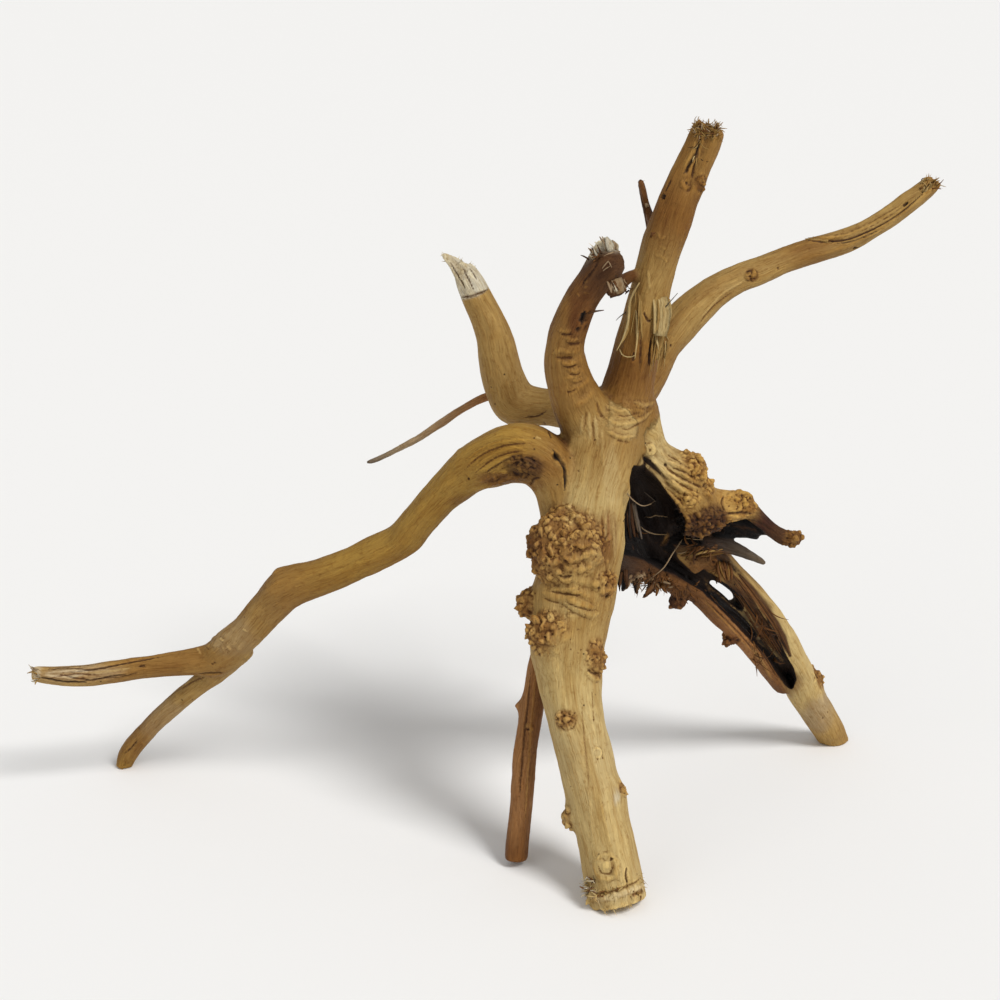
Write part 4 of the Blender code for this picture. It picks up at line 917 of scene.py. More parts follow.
run_tree(wood, relief, {"Flute Depth": FLUTE["depth"] * MM, "Knob Depth": KNOB["depth"] * MM,
                        "Lump Depth": LUMP["depth"] * MM, "Reach": ENCLOSED["reach"] * MM})
kept_group = wood.vertex_groups.new(name="detail")
for level in (0.5, 1.0):
    chosen = np.nonzero((detail > level - 0.25) & (detail <= level + 0.25))[0]
    kept_group.add([int(i) for i in chosen], level, "REPLACE")
thin = wood.modifiers.new("thin", "DECIMATE")
thin.ratio = min(1.0, SKIN_TRIANGLES / sum(len(face.vertices) - 2 for face in wood.data.polygons))
thin.use_collapse_triangulate = True
thin.vertex_group = "detail"
thin.invert_vertex_group = True
thin.vertex_group_factor = 4.0
bake(wood)
wood.vertex_groups.clear()


def crease_field(mesh):
    """How hollow (positive) or proud (negative) the skin is at each vertex."""
    count = len(mesh.vertices)
    flat = np.zeros(count * 3)
    mesh.vertices.foreach_get("co", flat)
    spots = flat.reshape(-1, 3)
    normals = np.zeros(count * 3)
    mesh.vertex_normals.foreach_get("vector", normals)
    normals = normals.reshape(-1, 3)
    edges = np.zeros(len(mesh.edges) * 2, dtype=int)
    mesh.edges.foreach_get("vertices", edges)
    a, b = edges.reshape(-1, 2).T
    span = spots[b] - spots[a]
    length = np.maximum(np.linalg.norm(span, axis=1), 1e-9)
    total = np.bincount(a, (span * normals[a]).sum(1) / length, count)
    total -= np.bincount(b, (span * normals[b]).sum(1) / length, count)
    degree = np.bincount(a, minlength=count) + np.bincount(b, minlength=count)
    value = total / np.maximum(degree, 1)
    spread = np.bincount(a, value[b], count) + np.bincount(b, value[a], count)
    return 0.6 * value + 0.4 * spread / np.maximum(degree, 1)


set_attribute(wood.data, "crease", "FLOAT", crease_field(wood.data))
wood.data.shade_smooth()

# Sun-bleached root wood: dry and matt, with streaks along the grain and small pinholes; creases, the burls' hollows
# and enclosed places are painted darker as painted shade, and proud ridges lighter as painted highlight. Its open
# pores scatter the light, so hardly any gloss is left. Sizes of its pattern in mm: width and length along the
# grain, or the size of a patch.
BROAD = (6.0, 60.0)
STREAK = (1.5, 30.0)
FIBRE = (0.55, 9.0)
BLOTCH = 13.0
FLECK = 2.2
FINE_KNOB = {"size": 1.5, "warp": 0.5}
GLOSS = 0.22
BUMP = 0.5
material = bpy.data.materials.new("sun_bleached_root_wood")
material.use_nodes = True
tree = material.node_tree
shader = tree.nodes["Principled BSDF"]
stored = {}
for name, output in (("grain_a", "Vector"), ("grain_b", "Vector"), ("grain_mix", "Fac"), ("burl", "Fac"),
                     ("weathered", "Fac"), ("crease", "Fac"), ("tint", "Color"), ("enclosed", "Fac"),
                     ("hollow", "Fac")):
    stored[name] = add_node(tree, "ShaderNodeAttribute", attribute_name=name).outputs[output]
grain = (stored["grain_a"], stored["grain_b"], stored["grain_mix"])
object_coords = add_node(tree, "ShaderNodeTexCoord").outputs["Object"]
broad = along_grain(tree, *grain, *BROAD)
streak = along_grain(tree, *grain, *STREAK, rough=0.6)
fibre = along_grain(tree, *grain, *FIBRE, rough=0.6)
blotch = add_node(tree, "ShaderNodeTexNoise",
                  {"Vector": object_coords, "Scale": 1 / (BLOTCH * MM), "Detail": 4.0}).outputs["Fac"]
fleck = add_node(tree, "ShaderNodeTexNoise",
                 {"Vector": object_coords, "Scale": 1 / (FLECK * MM), "Detail": 3.0}).outputs["Fac"]
knob_field = knob_height(tree, object_coords, KNOB["size"], KNOB["warp"])
small_field = knob_height(tree, object_coords, FINE_KNOB["size"], FINE_KNOB["warp"])
# Darker between the burl knobs: painted shade in their hollows.
burl_painted_shade = add_node(tree, "ShaderNodeMapRange", {"Value": knob_field, 1: 0.30, 2: 0.02, 3: 0.0, 4: 1.0})
burl_painted_shade = add_node(tree, "ShaderNodeMath",
                     {0: burl_painted_shade.outputs[0], 1: stored["burl"]}, operation="MULTIPLY").outputs[0]
# The hollows' rot, darkened where the wood closes in: painted shade over dark rot.
inside = add_node(tree, "ShaderNodeMapRange",
                  {"Value": stored["enclosed"], 1: 0.10, 2: 0.26, 3: 0.0, 4: 1.0})
rot_and_painted_shade = add_node(tree, "ShaderNodeMath",
                  {0: inside.outputs[0], 1: stored["hollow"]}, operation="MULTIPLY").outputs[0]
# Tint layers: source, where it starts and is full, its strength there and the tone that it multiplies by
TINT_LAYERS = [
    (broad, 0.48, 0.68, 0.75, (0.78, 0.68, 0.50)),
    (broad, 0.46, 0.30, 0.60, (1.14, 1.15, 1.14)),
    (streak, 0.54, 0.70, 0.55, (0.76, 0.63, 0.44)),
    (streak, 0.45, 0.30, 0.70, (1.20, 1.22, 1.22)),
    (fibre, 0.53, 0.68, 0.75, (0.70, 0.60, 0.45)),
    (fibre, 0.47, 0.33, 0.65, (1.24, 1.25, 1.24)),
    (blotch, 0.52, 0.70, 0.50, (0.84, 0.75, 0.58)),
    (fleck, 0.58, 0.70, 0.50, (0.68, 0.56, 0.40)),
    (burl_painted_shade, 0.0, 1.0, 0.80, (0.54, 0.41, 0.27)),
    # Creases darker, as dirt and painted shade; proud ridges lighter, as painted highlight.
    (stored["crease"], 0.025, 0.14, 0.90, (0.40, 0.29, 0.17)),
    (stored["crease"], -0.03, -0.15, 0.90, (1.34, 1.33, 1.24)),
    # Darker wherever the wood closes in around a point: painted shade.
    (stored["enclosed"], 0.22, 0.60, 0.85, (0.46, 0.36, 0.27)),
    # The hollows painted near black where enclosed: painted shade over dark rot.
    (rot_and_painted_shade, 0.0, 0.6, 1.0, (0.40, 0.33, 0.28)),
    (rot_and_painted_shade, 0.15, 0.7, 1.0, (0.11, 0.085, 0.07)),
]
base = stored["tint"]
for source, low, high, strength, tone in TINT_LAYERS:
    share = add_node(tree, "ShaderNodeMapRange", {"Value": source, 1: low, 2: high, 3: 0.0, 4: strength})
    base = add_node(tree, "ShaderNodeMix", {0: share.outputs[0], 6: base, 7: (*tone, 1)},
                    data_type="RGBA", blend_type="MULTIPLY").outputs[2]

# Pinholes about 0.7 mm across, in roughly a quarter of the cells of 5.6 mm
PINHOLE = {"cell": 5.6, "empty": 0.72, "tone": (0.045, 0.026, 0.012)}
cells = add_node(tree, "ShaderNodeTexVoronoi",
                 {"Vector": object_coords, "Scale": 1 / (PINHOLE["cell"] * MM)}, feature="F1")
pick = add_node(tree, "ShaderNodeSeparateColor", {0: cells.outputs["Color"]})
chosen = add_node(tree, "ShaderNodeMath", {0: pick.outputs[0], 1: PINHOLE["empty"]},
                  operation="GREATER_THAN")
pin = add_node(tree, "ShaderNodeMapRange",
               {"Value": cells.outputs["Distance"], 1: 0.085, 2: 0.045, 3: 0.0, 4: 0.85})
pin = add_node(tree, "ShaderNodeMath",
               {0: pin.outputs[0], 1: chosen.outputs[0]}, operation="MULTIPLY").outputs[0]
base = add_node(tree, "ShaderNodeMix",
                {0: pin, 6: base, 7: (*PINHOLE["tone"], 1)}, data_type="RGBA").outputs[2]
tree.links.new(base, shader.inputs["Base Color"])
rough = add_node(tree, "ShaderNodeMapRange", {"Value": fibre, 1: 0.3, 2: 0.7, 3: 0.55, 4: 0.78})
tree.links.new(rough.outputs[0], shader.inputs["Roughness"])
shader.inputs["Specular IOR Level"].default_value = GLOSS
fibre_gain = add_node(tree, "ShaderNodeMapRange",
                      {"Value": stored["weathered"], 1: 0.0, 2: 1.0, 3: 0.5, 4: 1.6})
streak_gain = add_node(tree, "ShaderNodeMapRange",
                       {"Value": stored["weathered"], 1: 0.0, 2: 1.0, 3: 0.9, 4: 2.6})
small_knobs = add_node(tree, "ShaderNodeMath", {0: small_field, 1: stored["burl"]}, operation="MULTIPLY")
bump_height = add_node(tree, "ShaderNodeMath", {0: small_knobs.outputs[0], 1: 0.6}, operation="MULTIPLY")
bump_height = add_node(tree, "ShaderNodeMath",
                       {0: fibre, 1: fibre_gain.outputs[0], 2: bump_height.outputs[0]},
                       operation="MULTIPLY_ADD")
bump_height = add_node(tree, "ShaderNodeMath",
                       {0: streak, 1: streak_gain.outputs[0], 2: bump_height.outputs[0]},
                       operation="MULTIPLY_ADD")
bump_height = add_node(tree, "ShaderNodeMath", {0: fleck, 1: 0.5, 2: bump_height.outputs[0]},
                       operation="MULTIPLY_ADD")
bump_height = add_node(tree, "ShaderNodeMath", {0: bump_height.outputs[0], 1: pin}, operation="SUBTRACT")
bump = add_node(tree, "ShaderNodeBump",
                {"Strength": 1.0, "Distance": BUMP * MM, "Height": bump_height.outputs[0]})
tree.links.new(bump.outputs[0], shader.inputs["Normal"])
wood.data.materials.clear()
wood.data.materials.append(material)
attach(wood, "root")
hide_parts("driftwood")

# Root hairs, peeled strips and torn sheets
# Thin slips of the same wood that lie on the skin or hang on by one end or both: hairs across the hollow,
# strips and a torn sheet on the tall stub, its twig, the frayed flake of the bent stub, and torn shreds.
SLIP_SIDES = 6
SLIP_STEP = 1.6
SLIP_SINK = 0.3
SLIP_WEATHERED = 0.7
LOWEST = 0.1

# Single slips: finish, half widths at start, middle and end in mm, flatness, then the points: place in the
# picture and how far in mm it stands in front of the line between the points that touch the wood (none: it
# touches). A point that touches is sunk a little, and nothing goes lower than just above the floor.
SLIPS = [
    ("hair", (0.26, 0.24, 0.20), 1.0, [(627, 493, None), (633, 500, 1), (642, 505.7, 2), (651, 503.8, 1),
     (655.5, 499, None)]),
    ("hair", (0.24, 0.30, 0.24), 1.0, [(638.3, 522.9, None), (643.4, 529.3, 4), (653.6, 533.8, 4),
     (667, 534.5, None)]),
    ("hair", (0.20, 0.28, 0.22), 1.0, [(644.6, 516.5, None), (651, 517.2, 4), (655, 515.3, 4),
     (668, 517, None)]),
    ("grey", (0.18, 0.20, 0.16), 1.0, [(643, 491, None), (651, 497.4, 2), (656, 502, None)]),
    ("hair", (0.30, 0.30, 0.24), 1.0, [(682, 539.5, None), (672.7, 553.5, 6), (663.8, 567.6, 6),
     (655, 575, 4), (647.5, 581, None)]),
    ("hair", (0.2, 0.24, 0.2), 1.0, [(675, 553, None), (682, 553, 1), (687, 551, None)]),
    ("hair", (0.26, 0.24, 0.2), 1.0, [(684, 538, None), (693, 539, 0.8), (703, 540, None)]),
    ("grey", (0.24, 0.2, 0.1), 1.0, [(648, 585.4, None), (640, 586, 0.5), (632, 585, 1)]),
    ("umber", (0.6, 0.4, 0.15), 1.0, [(588, 312.8, None), (596, 311.2, 0), (604, 310.2, 0)]),
    ("grey", (0.3, 0.2, 0.1), 1.0, [(626, 312, None), (620, 316.5, 0.5), (616, 320.5, 1)]),
    ("straw", (0.24, 0.26, 0.22), 1.0, [(619.6, 349, None), (622, 354.5, 1.2), (627, 357, 1.8),
     (631, 357, 1.2), (635, 355.5, None)]),
    ("grey", (0.26, 0.22, 0.12), 1.0, [(661, 312, None), (669, 303, 3), (677.7, 293, 3)]),
    ("straw", (0.35, 0.7, 0.15), 0.3, [(640, 282, None), (634, 292, 0.8), (629.5, 304, 1.2),
     (628, 322, 1.6), (623, 338, 2), (616.5, 351, 2.6)]),
    ("straw", (0.35, 0.6, 0.15), 0.3, [(636, 307, None), (637, 324, 1.0), (637, 340, 1.2),
     (634.8, 359, 1.6)]),
    ("tan", (0.4, 0.7, 0.2), 0.4, [(633, 296, None), (631, 310, 0.6), (628, 330, 1.0), (622, 343, 1.4)]),
    ("tan", (0.4, 0.6, 0.2), 0.4, [(641, 300, None), (641, 318, 0.6), (642, 338, 1.0)]),
    ("hair", (0.15, 0.3, 0.2), 0.6, [(600, 271.7, None), (604, 266, 1), (608.5, 261, 0.9)]),
    ("hair", (0.2, 0.22, 0.12), 0.6, [(608.5, 261.4, None), (610, 264, 0.8), (611.8, 267.5, 0.4)]),
    ("hair", (0.15, 0.28, 0.15), 0.6, [(600.5, 272.5, None), (606, 268.5, 0.9), (610, 266, 0.8)]),
    ("hair", (0.3, 0.4, 0.3), 0.7, [(594, 266.5, None), (600, 260, 0.6), (607, 255, 0.8),
     (614, 252.3, 0.6), (620, 251.5, None)]),
    ("bleached", (0.4, 0.4, 0.15), 0.5, [(598, 257, None), (595, 252, 0.5), (593.5, 248, 0.8)]),
    ("umber", (0.4, 0.4, 0.15), 0.5, [(602, 254, None), (599, 249, 0.5), (597, 244.5, 0.8)]),
    ("bleached", (0.5, 0.4, 0.15), 0.5, [(595, 260, None), (591.5, 257, 0.5), (589, 255, 0.8)]),
    ("umber", (0.5, 1.1, 0.5), 0.6, [(610, 297.5, 0), (616, 294.5, None), (621, 292.5, 0.4),
     (626, 289, None)]),
    ("straw", (2.4, 3.7, 2.8), 0.12, [(661.5, 297, None), (662, 308, 0.5), (662, 320, 0.7),
     (660.5, 336, 0.9)]),
    ("tan", (2.2, 2.0, 0.5), 0.14, [(660, 330, None), (658.5, 345, 0.5), (657, 360, 0.8)]),
    ("bleached", (1.5, 1.8, 0.6), 0.12, [(611.5, 252, None), (609.5, 245, 0.3), (606, 237, 0.3)]),
    ("hair", (2.6, 2.8, 1.6), 0.3, [(616, 279, None), (618, 286, 0.4), (621, 293, 0.4)]),
    ("brown", (1.7, 1.5, 1.2), 1.0, [(654, 236, None), (649, 216, None), (644.5, 197, None),
     (640.5, 181, None)]),
    ("hair", (1.0, 1.65, 1.0), 1.0, [(647, 207, None), (646, 203, None)]),
    ("hair", (0.8, 1.5, 0.8), 1.0, [(643, 191, None), (642.3, 188, None)]),
    ("rot", (1.4, 1.0, 0.5), 0.8, [(653, 583, None), (650.5, 588, 1), (646.5, 592.5, 1.4),
     (646, 596, 1.4)]),
    ("rot", (1.4, 0.9, 0.3), 0.8, [(656, 584, None), (657.5, 590, 0.5), (656, 596, 0.5)]),
    ("rot", (1.2, 0.8, 0.3), 0.8, [(662, 584, None), (664, 590, 0.5), (667, 593, 0.5)]),
    ("tan", (0.4, 0.6, 0.3), 0.5, [(720, 550, None), (704, 552, 2.2), (690, 556, 3)]),
    ("brown", (0.35, 0.45, 0.3), 0.8, [(704.6, 590, None), (718, 603, None), (731.4, 616, None),
     (749.3, 632.5, None), (765, 656, None), (778, 678, None)]),
    ("tan", (0.8, 0.5, 0.15), 0.6, [(828, 241, None), (816, 239.5, 1.0), (805, 238.7, 1.4)]),
    ("bleached", (0.5, 0.5, 0.2), 0.6, [(588, 884, None), (584, 881, 0.8), (581, 878.5, 1.4)]),
    ("rust", (0.5, 0.5, 0.2), 0.6, [(588, 889, None), (583, 888, 0.8), (579.5, 886.5, 1.4)]),
    ("bleached", (0.5, 0.5, 0.2), 0.6, [(589, 892, None), (584.5, 894.5, 0.8), (581, 897, 1.4)]),
    ("bleached", (0.6, 0.5, 0.2), 0.6, [(591, 880, None), (587, 877, 0.8), (585, 880, 1.2)]),
]

# Torn bundles of fibres that lie side by side between two lines in the picture: their finishes in turn,
# half widths in mm, flatness, count, the two lines, how far their ends lift off in mm (none: they lie on
# the wood) and how ragged their ends are. Each fibre's trail is drawn in a few steps.
BUNDLE_STEPS = 5
BUNDLES = [
    (("straw", "tan", "straw", "pale"), (0.4, 0.6, 0.35), 0.5, 20, [(653, 299), (653, 318), (653, 335)],
     [(669.5, 297), (671, 315), (666, 333)], 1.0, 0.25),
    (("tan", "ochre", "straw", "tan"), (0.4, 0.45, 0.12), 0.5, 13, [(653, 326), (652, 350), (649, 382)],
     [(668, 326), (668, 345), (663, 374)], 1.6, 0.8),
    (("tan", "ochre"), (0.3, 0.4, 0.12), 0.5, 5, [(632, 290), (627, 320), (621, 343)],
     [(641, 286), (641, 315), (640, 345)], 1.4, 0.5),
    (("bleached", "hair", "bleached"), (0.35, 0.45, 0.15), 0.5, 20, [(605, 252), (603, 243), (599, 235)],
     [(617.5, 251), (617.5, 245), (613.5, 240)], 0.2, 0.2),
    (("hair", "rot", "umber", "bleached", "rot"), (0.35, 0.5, 0.3), 0.5, 17, [(607, 281), (609, 286), (612, 293)],
     [(625, 278), (627, 283), (628, 288)], 0.8, 0.2),
    (("brown", "rot", "umber", "ochre"), (0.5, 0.8, 0.3), 0.5, 16, [(722, 543), (704, 542), (687, 546)],
     [(726, 556), (708, 559), (688, 561)], 1.2, 0.45),
    (("brown", "rot", "ochre"), (0.5, 0.7, 0.25), 0.5, 11, [(716, 560), (718, 572), (722, 584)],
     [(728, 560), (731, 572), (733, 583)], 1.0, 0.5),
    (("umber", "soot", "grey"), (0.5, 0.7, 0.3), 0.5, 9, [(628, 498), (626, 520), (628, 541)],
     [(634, 500), (638, 522), (642, 543)], 0.8, 0.7),
    (("char", "umber"), (0.7, 0.8, 0.25), 0.6, 6, [(619, 570), (618, 582), (617, 593)],
     [(630, 568), (630, 580), (628, 589)], 0.4, 0.5),
    (("rot", "umber", "brown", "char"), (0.2, 0.45, 0.2), 0.9, 26, [(733, 567), (756, 596), (778, 628), (795, 662)],
     [(720, 574), (741, 606), (762, 640), (783, 668)], None, 0.7),
    (("tan", "brown"), (0.3, 0.4, 0.12), 0.6, 5, [(832, 237), (818, 236.5), (806, 237)],
     [(832, 243), (820, 243), (810, 242)], 0.6, 0.3),
]

# Tangles of torn fibres: place and half sizes in the picture, count, length in pixels, the angle they point
# in and how far they stray from it in degrees, lift and half width in mm, finishes
TANGLES = [
    (707, 130, 13, 6, 140, 8, -60, 170, 0.8, 0.22, ("ochre", "tan", "tan", "brown", "hair")),
    (698, 148, 4, 14, 8, 12, 100, 30, 0.3, 0.24, ("tan", "umber", "straw")),
    (595, 257, 6, 5, 18, 9, -120, 50, 0.9, 0.3, ("umber", "hair", "brown")),
    (652, 580, 18, 7, 46, 9, 80, 90, 0.8, 0.42, ("rot", "umber", "brown", "hair", "rot")),
    (684, 590, 14, 7, 18, 9, 50, 60, 0.5, 0.34, ("rot", "umber", "brown")),
    (701, 551, 13, 8, 26, 12, 170, 40, 0.8, 0.45, ("brown", "umber", "rot")),
    (723, 570, 7, 9, 14, 11, 80, 50, 0.8, 0.4, ("brown", "rot", "umber")),
    (634, 520, 5, 16, 12, 12, 90, 40, 0.6, 0.4, ("umber", "rot", "char")),
    (592, 889, 5, 9, 40, 9, 190, 70, 0.9, 0.2, ("hair", "straw", "bleached", "brown")),
    (620, 891, 22, 5, 24, 6, 100, 80, 0.3, 0.28, ("straw", "brown", "tan")),
    (928, 186, 9, 6, 22, 10, -30, 50, 0.7, 0.28, ("tan", "brown", "straw")),
    (37, 675, 4, 6, 12, 8, 180, 60, 0.6, 0.28, ("bleached", "tan", "hair")),
    (662, 318, 7, 16, 14, 16, 95, 25, 1.0, 0.28, ("straw", "tan")),
    (622, 286, 8, 5, 14, 8, 90, 60, 0.8, 0.3, ("hair", "rot", "umber")),
    (761, 636, 15, 26, 22, 18, 57, 12, 0.4, 0.3, ("brown", "umber", "rot")),
]


def add_slip(bm, layers, finish, widths, flatness, trail):
    """One slip of wood with rounded edges, closed at both ends, along its trail in the picture."""
    touching = [(i, on_skin(x, y)[1]) for i, (x, y, lift) in enumerate(trail) if lift is None]
    known, distances = zip(*touching)
    spots = []
    for i, (x, y, lift) in enumerate(trail):
        away = np.interp(i, known, distances) + (SLIP_SINK if lift is None else -lift) * MM
        spots.append(tuple(CAMERA_SPOT + sight(x, y) * float(away)))
    path = [Vector(p) for p in curve_points(np.array(spots) / MM, SLIP_STEP) * MM]
    tone = rgb(FINISHES[finish][0])
    rings = []
    travelled = 0.0
    for i, centre in enumerate(path):
        share = i / (len(path) - 1)
        tangent = (path[min(i + 1, len(path) - 1)] - path[max(i - 1, 0)]).normalized()
        side = tangent.cross(CAMERA_SPOT - centre).normalized()
        out = side.cross(tangent)
        half = np.interp(share, (0, 0.5, 1), widths) * MM * (1 + 0.18 * noise.noise(centre * 900))
        if i:
            travelled += (centre - path[i - 1]).length
        ring = []
        for k in range(SLIP_SIDES):
            angle = math.radians(360 / SLIP_SIDES * k)
            across = math.cos(angle) * half
            rise = math.sin(angle) * half
            vert = bm.verts.new(centre + side * across + out * rise * flatness)
            vert[layers["tint"]] = (*tone, 1)
            vert[layers["grain_a"]] = (across + spots[0][1] * 5, rise, travelled)
            vert[layers["weathered"]] = SLIP_WEATHERED
            ring.append(vert)
        rings.append(ring)
    for lower, upper in zip(rings, rings[1:]):
        for k in range(SLIP_SIDES):
            following = (k + 1) % SLIP_SIDES
            bm.faces.new((lower[k], lower[following], upper[following], upper[k]))
    bm.faces.new(rings[0][::-1])
    bm.faces.new(rings[-1])


bm = bmesh.new()
layers = {
    "tint": bm.verts.layers.float_color.new("tint"),
    "grain_a": bm.verts.layers.float_vector.new("grain_a"),
    "weathered": bm.verts.layers.float.new("weathered"),
}
for finish, widths, flatness, trail in SLIPS:
    add_slip(bm, layers, finish, widths, flatness, trail)

for finishes, widths, flatness, count, left, right, lift, ragged_ends in BUNDLES:
    rows = np.arange(len(left))
    for number in range(count):
        seed = Vector((number * 1.7 + left[0][0], left[0][1], 0.3))
        share = np.clip((number + 0.5 + 0.7 * noise.noise(seed)) / count, 0.02, 0.98)
        begin = ragged_ends * 0.8 * abs(noise.noise(seed + Vector((0, 9.1, 0))))
        end = 1 - ragged_ends * (0.1 + 1.3 * abs(noise.noise(seed + Vector((0, 0, 4.7)))))
        sway = 1.6 * noise.noise(seed + Vector((3.3, 0, 0)))
        drift = 0.35 * noise.noise(seed + Vector((0, 5.1, 2.2)))
        size = 0.9 + 0.9 * noise.noise(seed + Vector((6.4, 1.8, 0)))
        trail = []
        for step in range(BUNDLE_STEPS + 1):
            share = np.clip(share + drift / BUNDLE_STEPS, 0, 1)
            along = (begin + max(end - begin, 0.25) * step / BUNDLE_STEPS) * (len(left) - 1)
            row = [np.interp(along, rows, [p[axis] for p in left]) * (1 - share)
                   + np.interp(along, rows, [p[axis] for p in right]) * share for axis in (0, 1)]
            raised = None
            if lift is not None and step:
                raised = lift * (step / BUNDLE_STEPS) ** 1.4 * (0.6 + abs(sway)) + 0.2
            trail.append((row[0] + sway * math.sin(step * 0.9), row[1], raised))
        thickness = [w * size for w in widths]
        add_slip(bm, layers, finishes[number % len(finishes)], thickness, flatness, trail)

dice = np.random.RandomState(31)
for px, py, half_w, half_h, count, length, way, stray, lift, width, finishes in TANGLES:
    for number in range(count):
        x = px + half_w * dice.uniform(-1, 1)
        y = py + half_h * dice.uniform(-1, 1)
        turn = math.radians(way + stray * dice.uniform(-1, 1))
        bend = dice.uniform(-0.5, 0.5)
        step = length * dice.uniform(0.4, 1.2) / 3
        rise = lift * dice.uniform(0.3, 1.0)
        trail = [(x, y, None)]
        for number_along in (1, 2, 3):
            x += step * math.cos(turn + bend * number_along)
            y += step * math.sin(turn + bend * number_along)
            trail.append((x, y, rise * math.sin(number_along * 0.75) + 0.15))
        size = width * dice.uniform(0.6, 1.3)
        widths = (size, size * 1.1, size * 0.35)
        add_slip(bm, layers, finishes[number % len(finishes)], widths, 0.7, trail)
bmesh.ops.recalc_face_normals(bm, faces=bm.faces[:])
mesh = bpy.data.meshes.new("loose_slips")
for vert in bm.verts:
    vert.co.z = max(vert.co.z, LOWEST * MM)
bm.to_mesh(mesh)
bm.free()
for face in mesh.polygons:
    face.use_smooth = True
slips = bpy.data.objects.new("loose_slips", mesh)
bpy.context.scene.collection.objects.link(slips)
slips.data.materials.append(material)
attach(slips, "root")

# Frayed fibres
# Short splinters that stand where the wood was broken or sawn. Each grows out of the skin, so it takes the
# skin's tint. Place in the picture, reach in mm, amount, and the mean way and length of the fibres in mm.
FIBRE_DENSITY = 800000.0
FIBRE_HALF_WIDTH = 0.2
FIBRE_SPREAD = 1.7
FRAYED = [
    (706, 126, 8, 0.5, (0.6, -0.6, 0.7)), (716, 132, 6, 0.4, (1.0, -0.6, 0)),
    (694, 128, 5, 0.3, (-0.3, -0.6, 0.9)), (588, 889, 4, 0.9, (-1.8, -0.4, -0.4)),
    (642, 882, 5, 0.5, (0.8, -0.5, -0.4)), (615, 895, 12, 0.4, (0, -0.6, -0.4)),
    (598, 252, 5, 0.6, (-1.0, -0.5, 1.2)), (444, 255, 5, 0.35, (-1.2, 0, 0.8)),
    (470, 263, 8, 0.3, (0.3, 0, 1.0)), (932, 181, 6, 0.6, (1.2, 0.3, 0.6)),
    (36, 674, 5, 0.5, (-1.2, 0, 0.3)), (126, 765, 4, 0.5, (-0.3, 0, -1.4)),
    (646, 580, 9, 0.6, (-0.4, -1.0, -0.8)), (672, 590, 7, 0.4, (0, -0.8, -0.9)),
    (700, 553, 9, 0.5, (-1.2, -0.9, -0.3)), (640, 182, 3, 0.5, (-0.3, 0, 0.8)),
    (760, 640, 12, 0.15, (0.8, -0.3, -1.2)),
]
points = positions(wood.data)
fray = np.zeros(len(points))
fray_way = np.tile((0.0, 0.0, 1.0), (len(points), 1))
for px, py, reach, amount, way in FRAYED:
    spot = on_skin(px, py)[0]
    share = smoothstep(1.0, 0.55, np.linalg.norm(points - spot, axis=1) / reach) * amount
    stronger = share > fray
    fray[stronger] = share[stronger]
    fray_way[stronger] = way
set_attribute(wood.data, "fray", "FLOAT", fray)
set_attribute(wood.data, "fray_way", "FLOAT_VECTOR", fray_way * MM)
fibres = bpy.data.node_groups.new("frayed fibres", "GeometryNodeTree")
fibres.interface.new_socket("Geometry", in_out="INPUT", socket_type="NodeSocketGeometry")
for name in ("Density", "Half Width", "Spread"):
    fibres.interface.new_socket(name, in_out="INPUT", socket_type="NodeSocketFloat")
fibres.interface.new_socket("Wood", in_out="INPUT", socket_type="NodeSocketMaterial")
fibres.interface.new_socket("Geometry", in_out="OUTPUT", socket_type="NodeSocketGeometry")
start = add_node(fibres, "NodeGroupInput")
fray_share = add_node(fibres, "GeometryNodeInputNamedAttribute",
                      {"Name": "fray"}, data_type="FLOAT").outputs["Attribute"]
way = add_node(fibres, "GeometryNodeInputNamedAttribute",
               {"Name": "fray_way"}, data_type="FLOAT_VECTOR").outputs["Attribute"]
density = add_node(fibres, "ShaderNodeMath", {0: fray_share, 1: start.outputs["Density"]},
                   operation="MULTIPLY")
roots = add_node(fibres, "GeometryNodeDistributePointsOnFaces",
                 {"Mesh": start.outputs["Geometry"], "Density": density.outputs[0], "Seed": 7})
scatter = add_node(fibres, "FunctionNodeRandomValue", {0: (-1, -1, -1), 1: (1, 1, 1), "Seed": 3},
                   data_type="FLOAT_VECTOR")
spread = add_node(fibres, "ShaderNodeVectorMath", {0: scatter.outputs[0], "Scale": start.outputs["Spread"]},
                  operation="SCALE")
aim = add_node(fibres, "ShaderNodeVectorMath", {0: way, 1: spread.outputs[0]}, operation="ADD")
size = add_node(fibres, "ShaderNodeVectorMath", {0: aim.outputs[0]}, operation="LENGTH")
turned = add_node(fibres, "FunctionNodeAlignRotationToVector", {"Vector": aim.outputs[0]}, axis="Z")
width = add_node(fibres, "FunctionNodeRandomValue", {2: 0.6, 3: 1.5, "Seed": 5}, data_type="FLOAT")
thick = add_node(fibres, "ShaderNodeMath", {0: width.outputs[1], 1: start.outputs["Half Width"]},
                 operation="MULTIPLY")
scale = add_node(fibres, "ShaderNodeCombineXYZ",
                 {0: thick.outputs[0], 1: thick.outputs[0], 2: size.outputs["Value"]})
splinter = add_node(fibres, "GeometryNodeMeshCone",
                    {"Vertices": 5, "Radius Top": 0.12, "Radius Bottom": 1.0, "Depth": 1.0})
placed = add_node(fibres, "GeometryNodeInstanceOnPoints",
                  {"Points": roots.outputs["Points"], "Instance": splinter.outputs["Mesh"],
                   "Rotation": turned.outputs[0], "Scale": scale.outputs[0]})
real = add_node(fibres, "GeometryNodeRealizeInstances", {"Geometry": placed.outputs[0]})
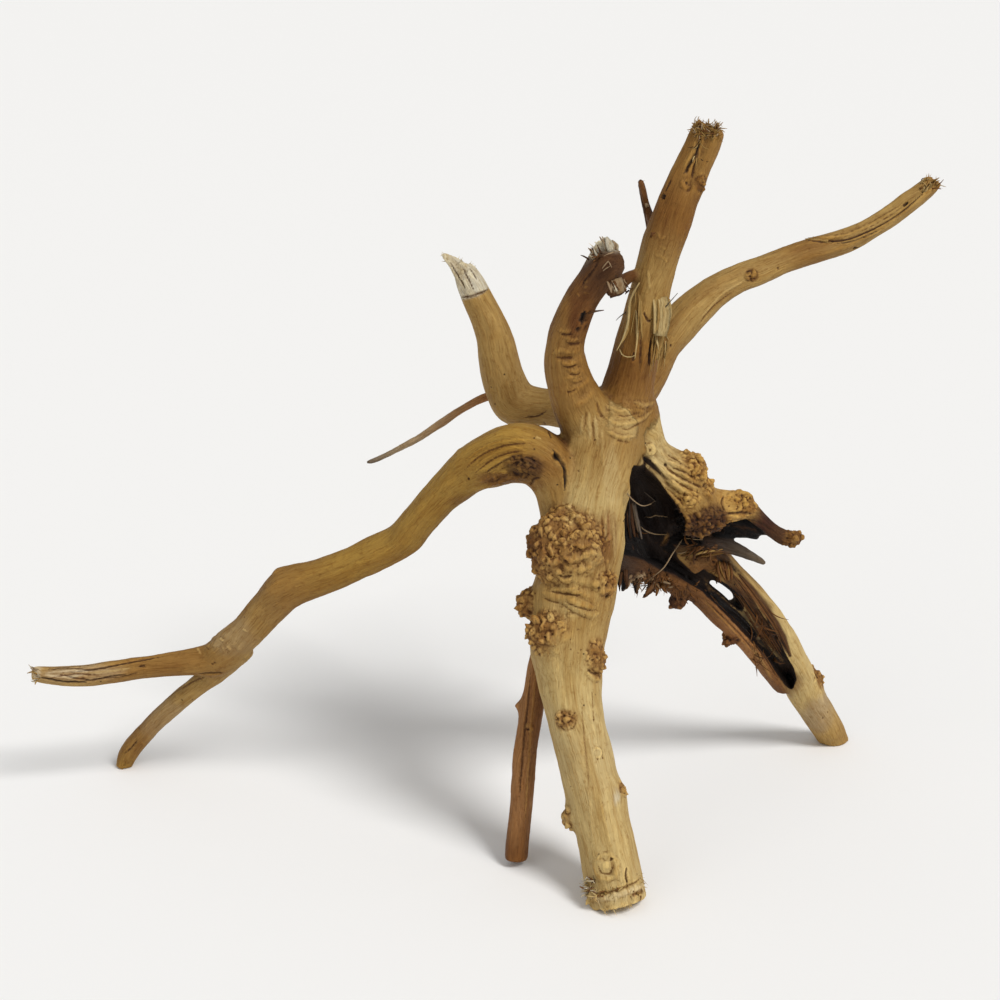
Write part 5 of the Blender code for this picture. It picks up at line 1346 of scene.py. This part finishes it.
dressed = add_node(fibres, "GeometryNodeSetMaterial",
                   {"Geometry": real.outputs[0], "Material": start.outputs["Wood"]})
add_node(fibres, "NodeGroupOutput", {"Geometry": dressed.outputs[0]})
frayed = bpy.data.objects.new("frayed_fibres", wood.data.copy())
bpy.context.scene.collection.objects.link(frayed)
run_tree(frayed, fibres, {"Density": FIBRE_DENSITY, "Half Width": FIBRE_HALF_WIDTH * MM,
                          "Spread": FIBRE_SPREAD * MM, "Wood": material})
for vertex in frayed.data.vertices:
    vertex.co.z = max(vertex.co.z, LOWEST * MM)
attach(frayed, "root")

# The floor
# A plain pale studio floor, large enough to fill the view.
bm = bmesh.new()
bmesh.ops.create_circle(bm, cap_ends=True, segments=96, radius=14.0)
mesh = bpy.data.meshes.new("floor")
bm.to_mesh(mesh)
bm.free()
floor = bpy.data.objects.new("floor", mesh)
bpy.context.scene.collection.objects.link(floor)
paper = bpy.data.materials.new("pale_studio_paper")
paper.use_nodes = True
paper_shader = paper.node_tree.nodes["Principled BSDF"]
paper_shader.inputs["Base Color"].default_value = (*rgb("#efeeec"), 1)
paper_shader.inputs["Roughness"].default_value = 0.95
paper_shader.inputs["Specular IOR Level"].default_value = 0.1
floor.data.materials.append(paper)
floor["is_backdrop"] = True

# Light
# Soft even studio light: a bright surround and two broad lamps far off, so the floor is lit evenly.
world = bpy.data.worlds.new("studio")
world.use_nodes = True
world.node_tree.nodes["Background"].inputs["Color"].default_value = (*rgb("#f6f6f6"), 1)
world.node_tree.nodes["Background"].inputs["Strength"].default_value = 0.47
bpy.context.scene.world = world
bpy.context.scene.view_settings.view_transform = "Standard"
LAMPS = [
    ("key", (0.7, -0.65, 1.15), 20, 2.35),
    ("fill", (-1.0, -0.9, 0.9), 40, 0.25),
]
for name, way, width, power in LAMPS:
    lamp = bpy.data.lights.new(name, "SUN")
    lamp.angle = math.radians(width)
    lamp.energy = power
    holder = bpy.data.objects.new(name, lamp)
    holder.rotation_euler = (-Vector(way)).to_track_quat("-Z", "Y").to_euler()
    bpy.context.scene.collection.objects.link(holder)

low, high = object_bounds()
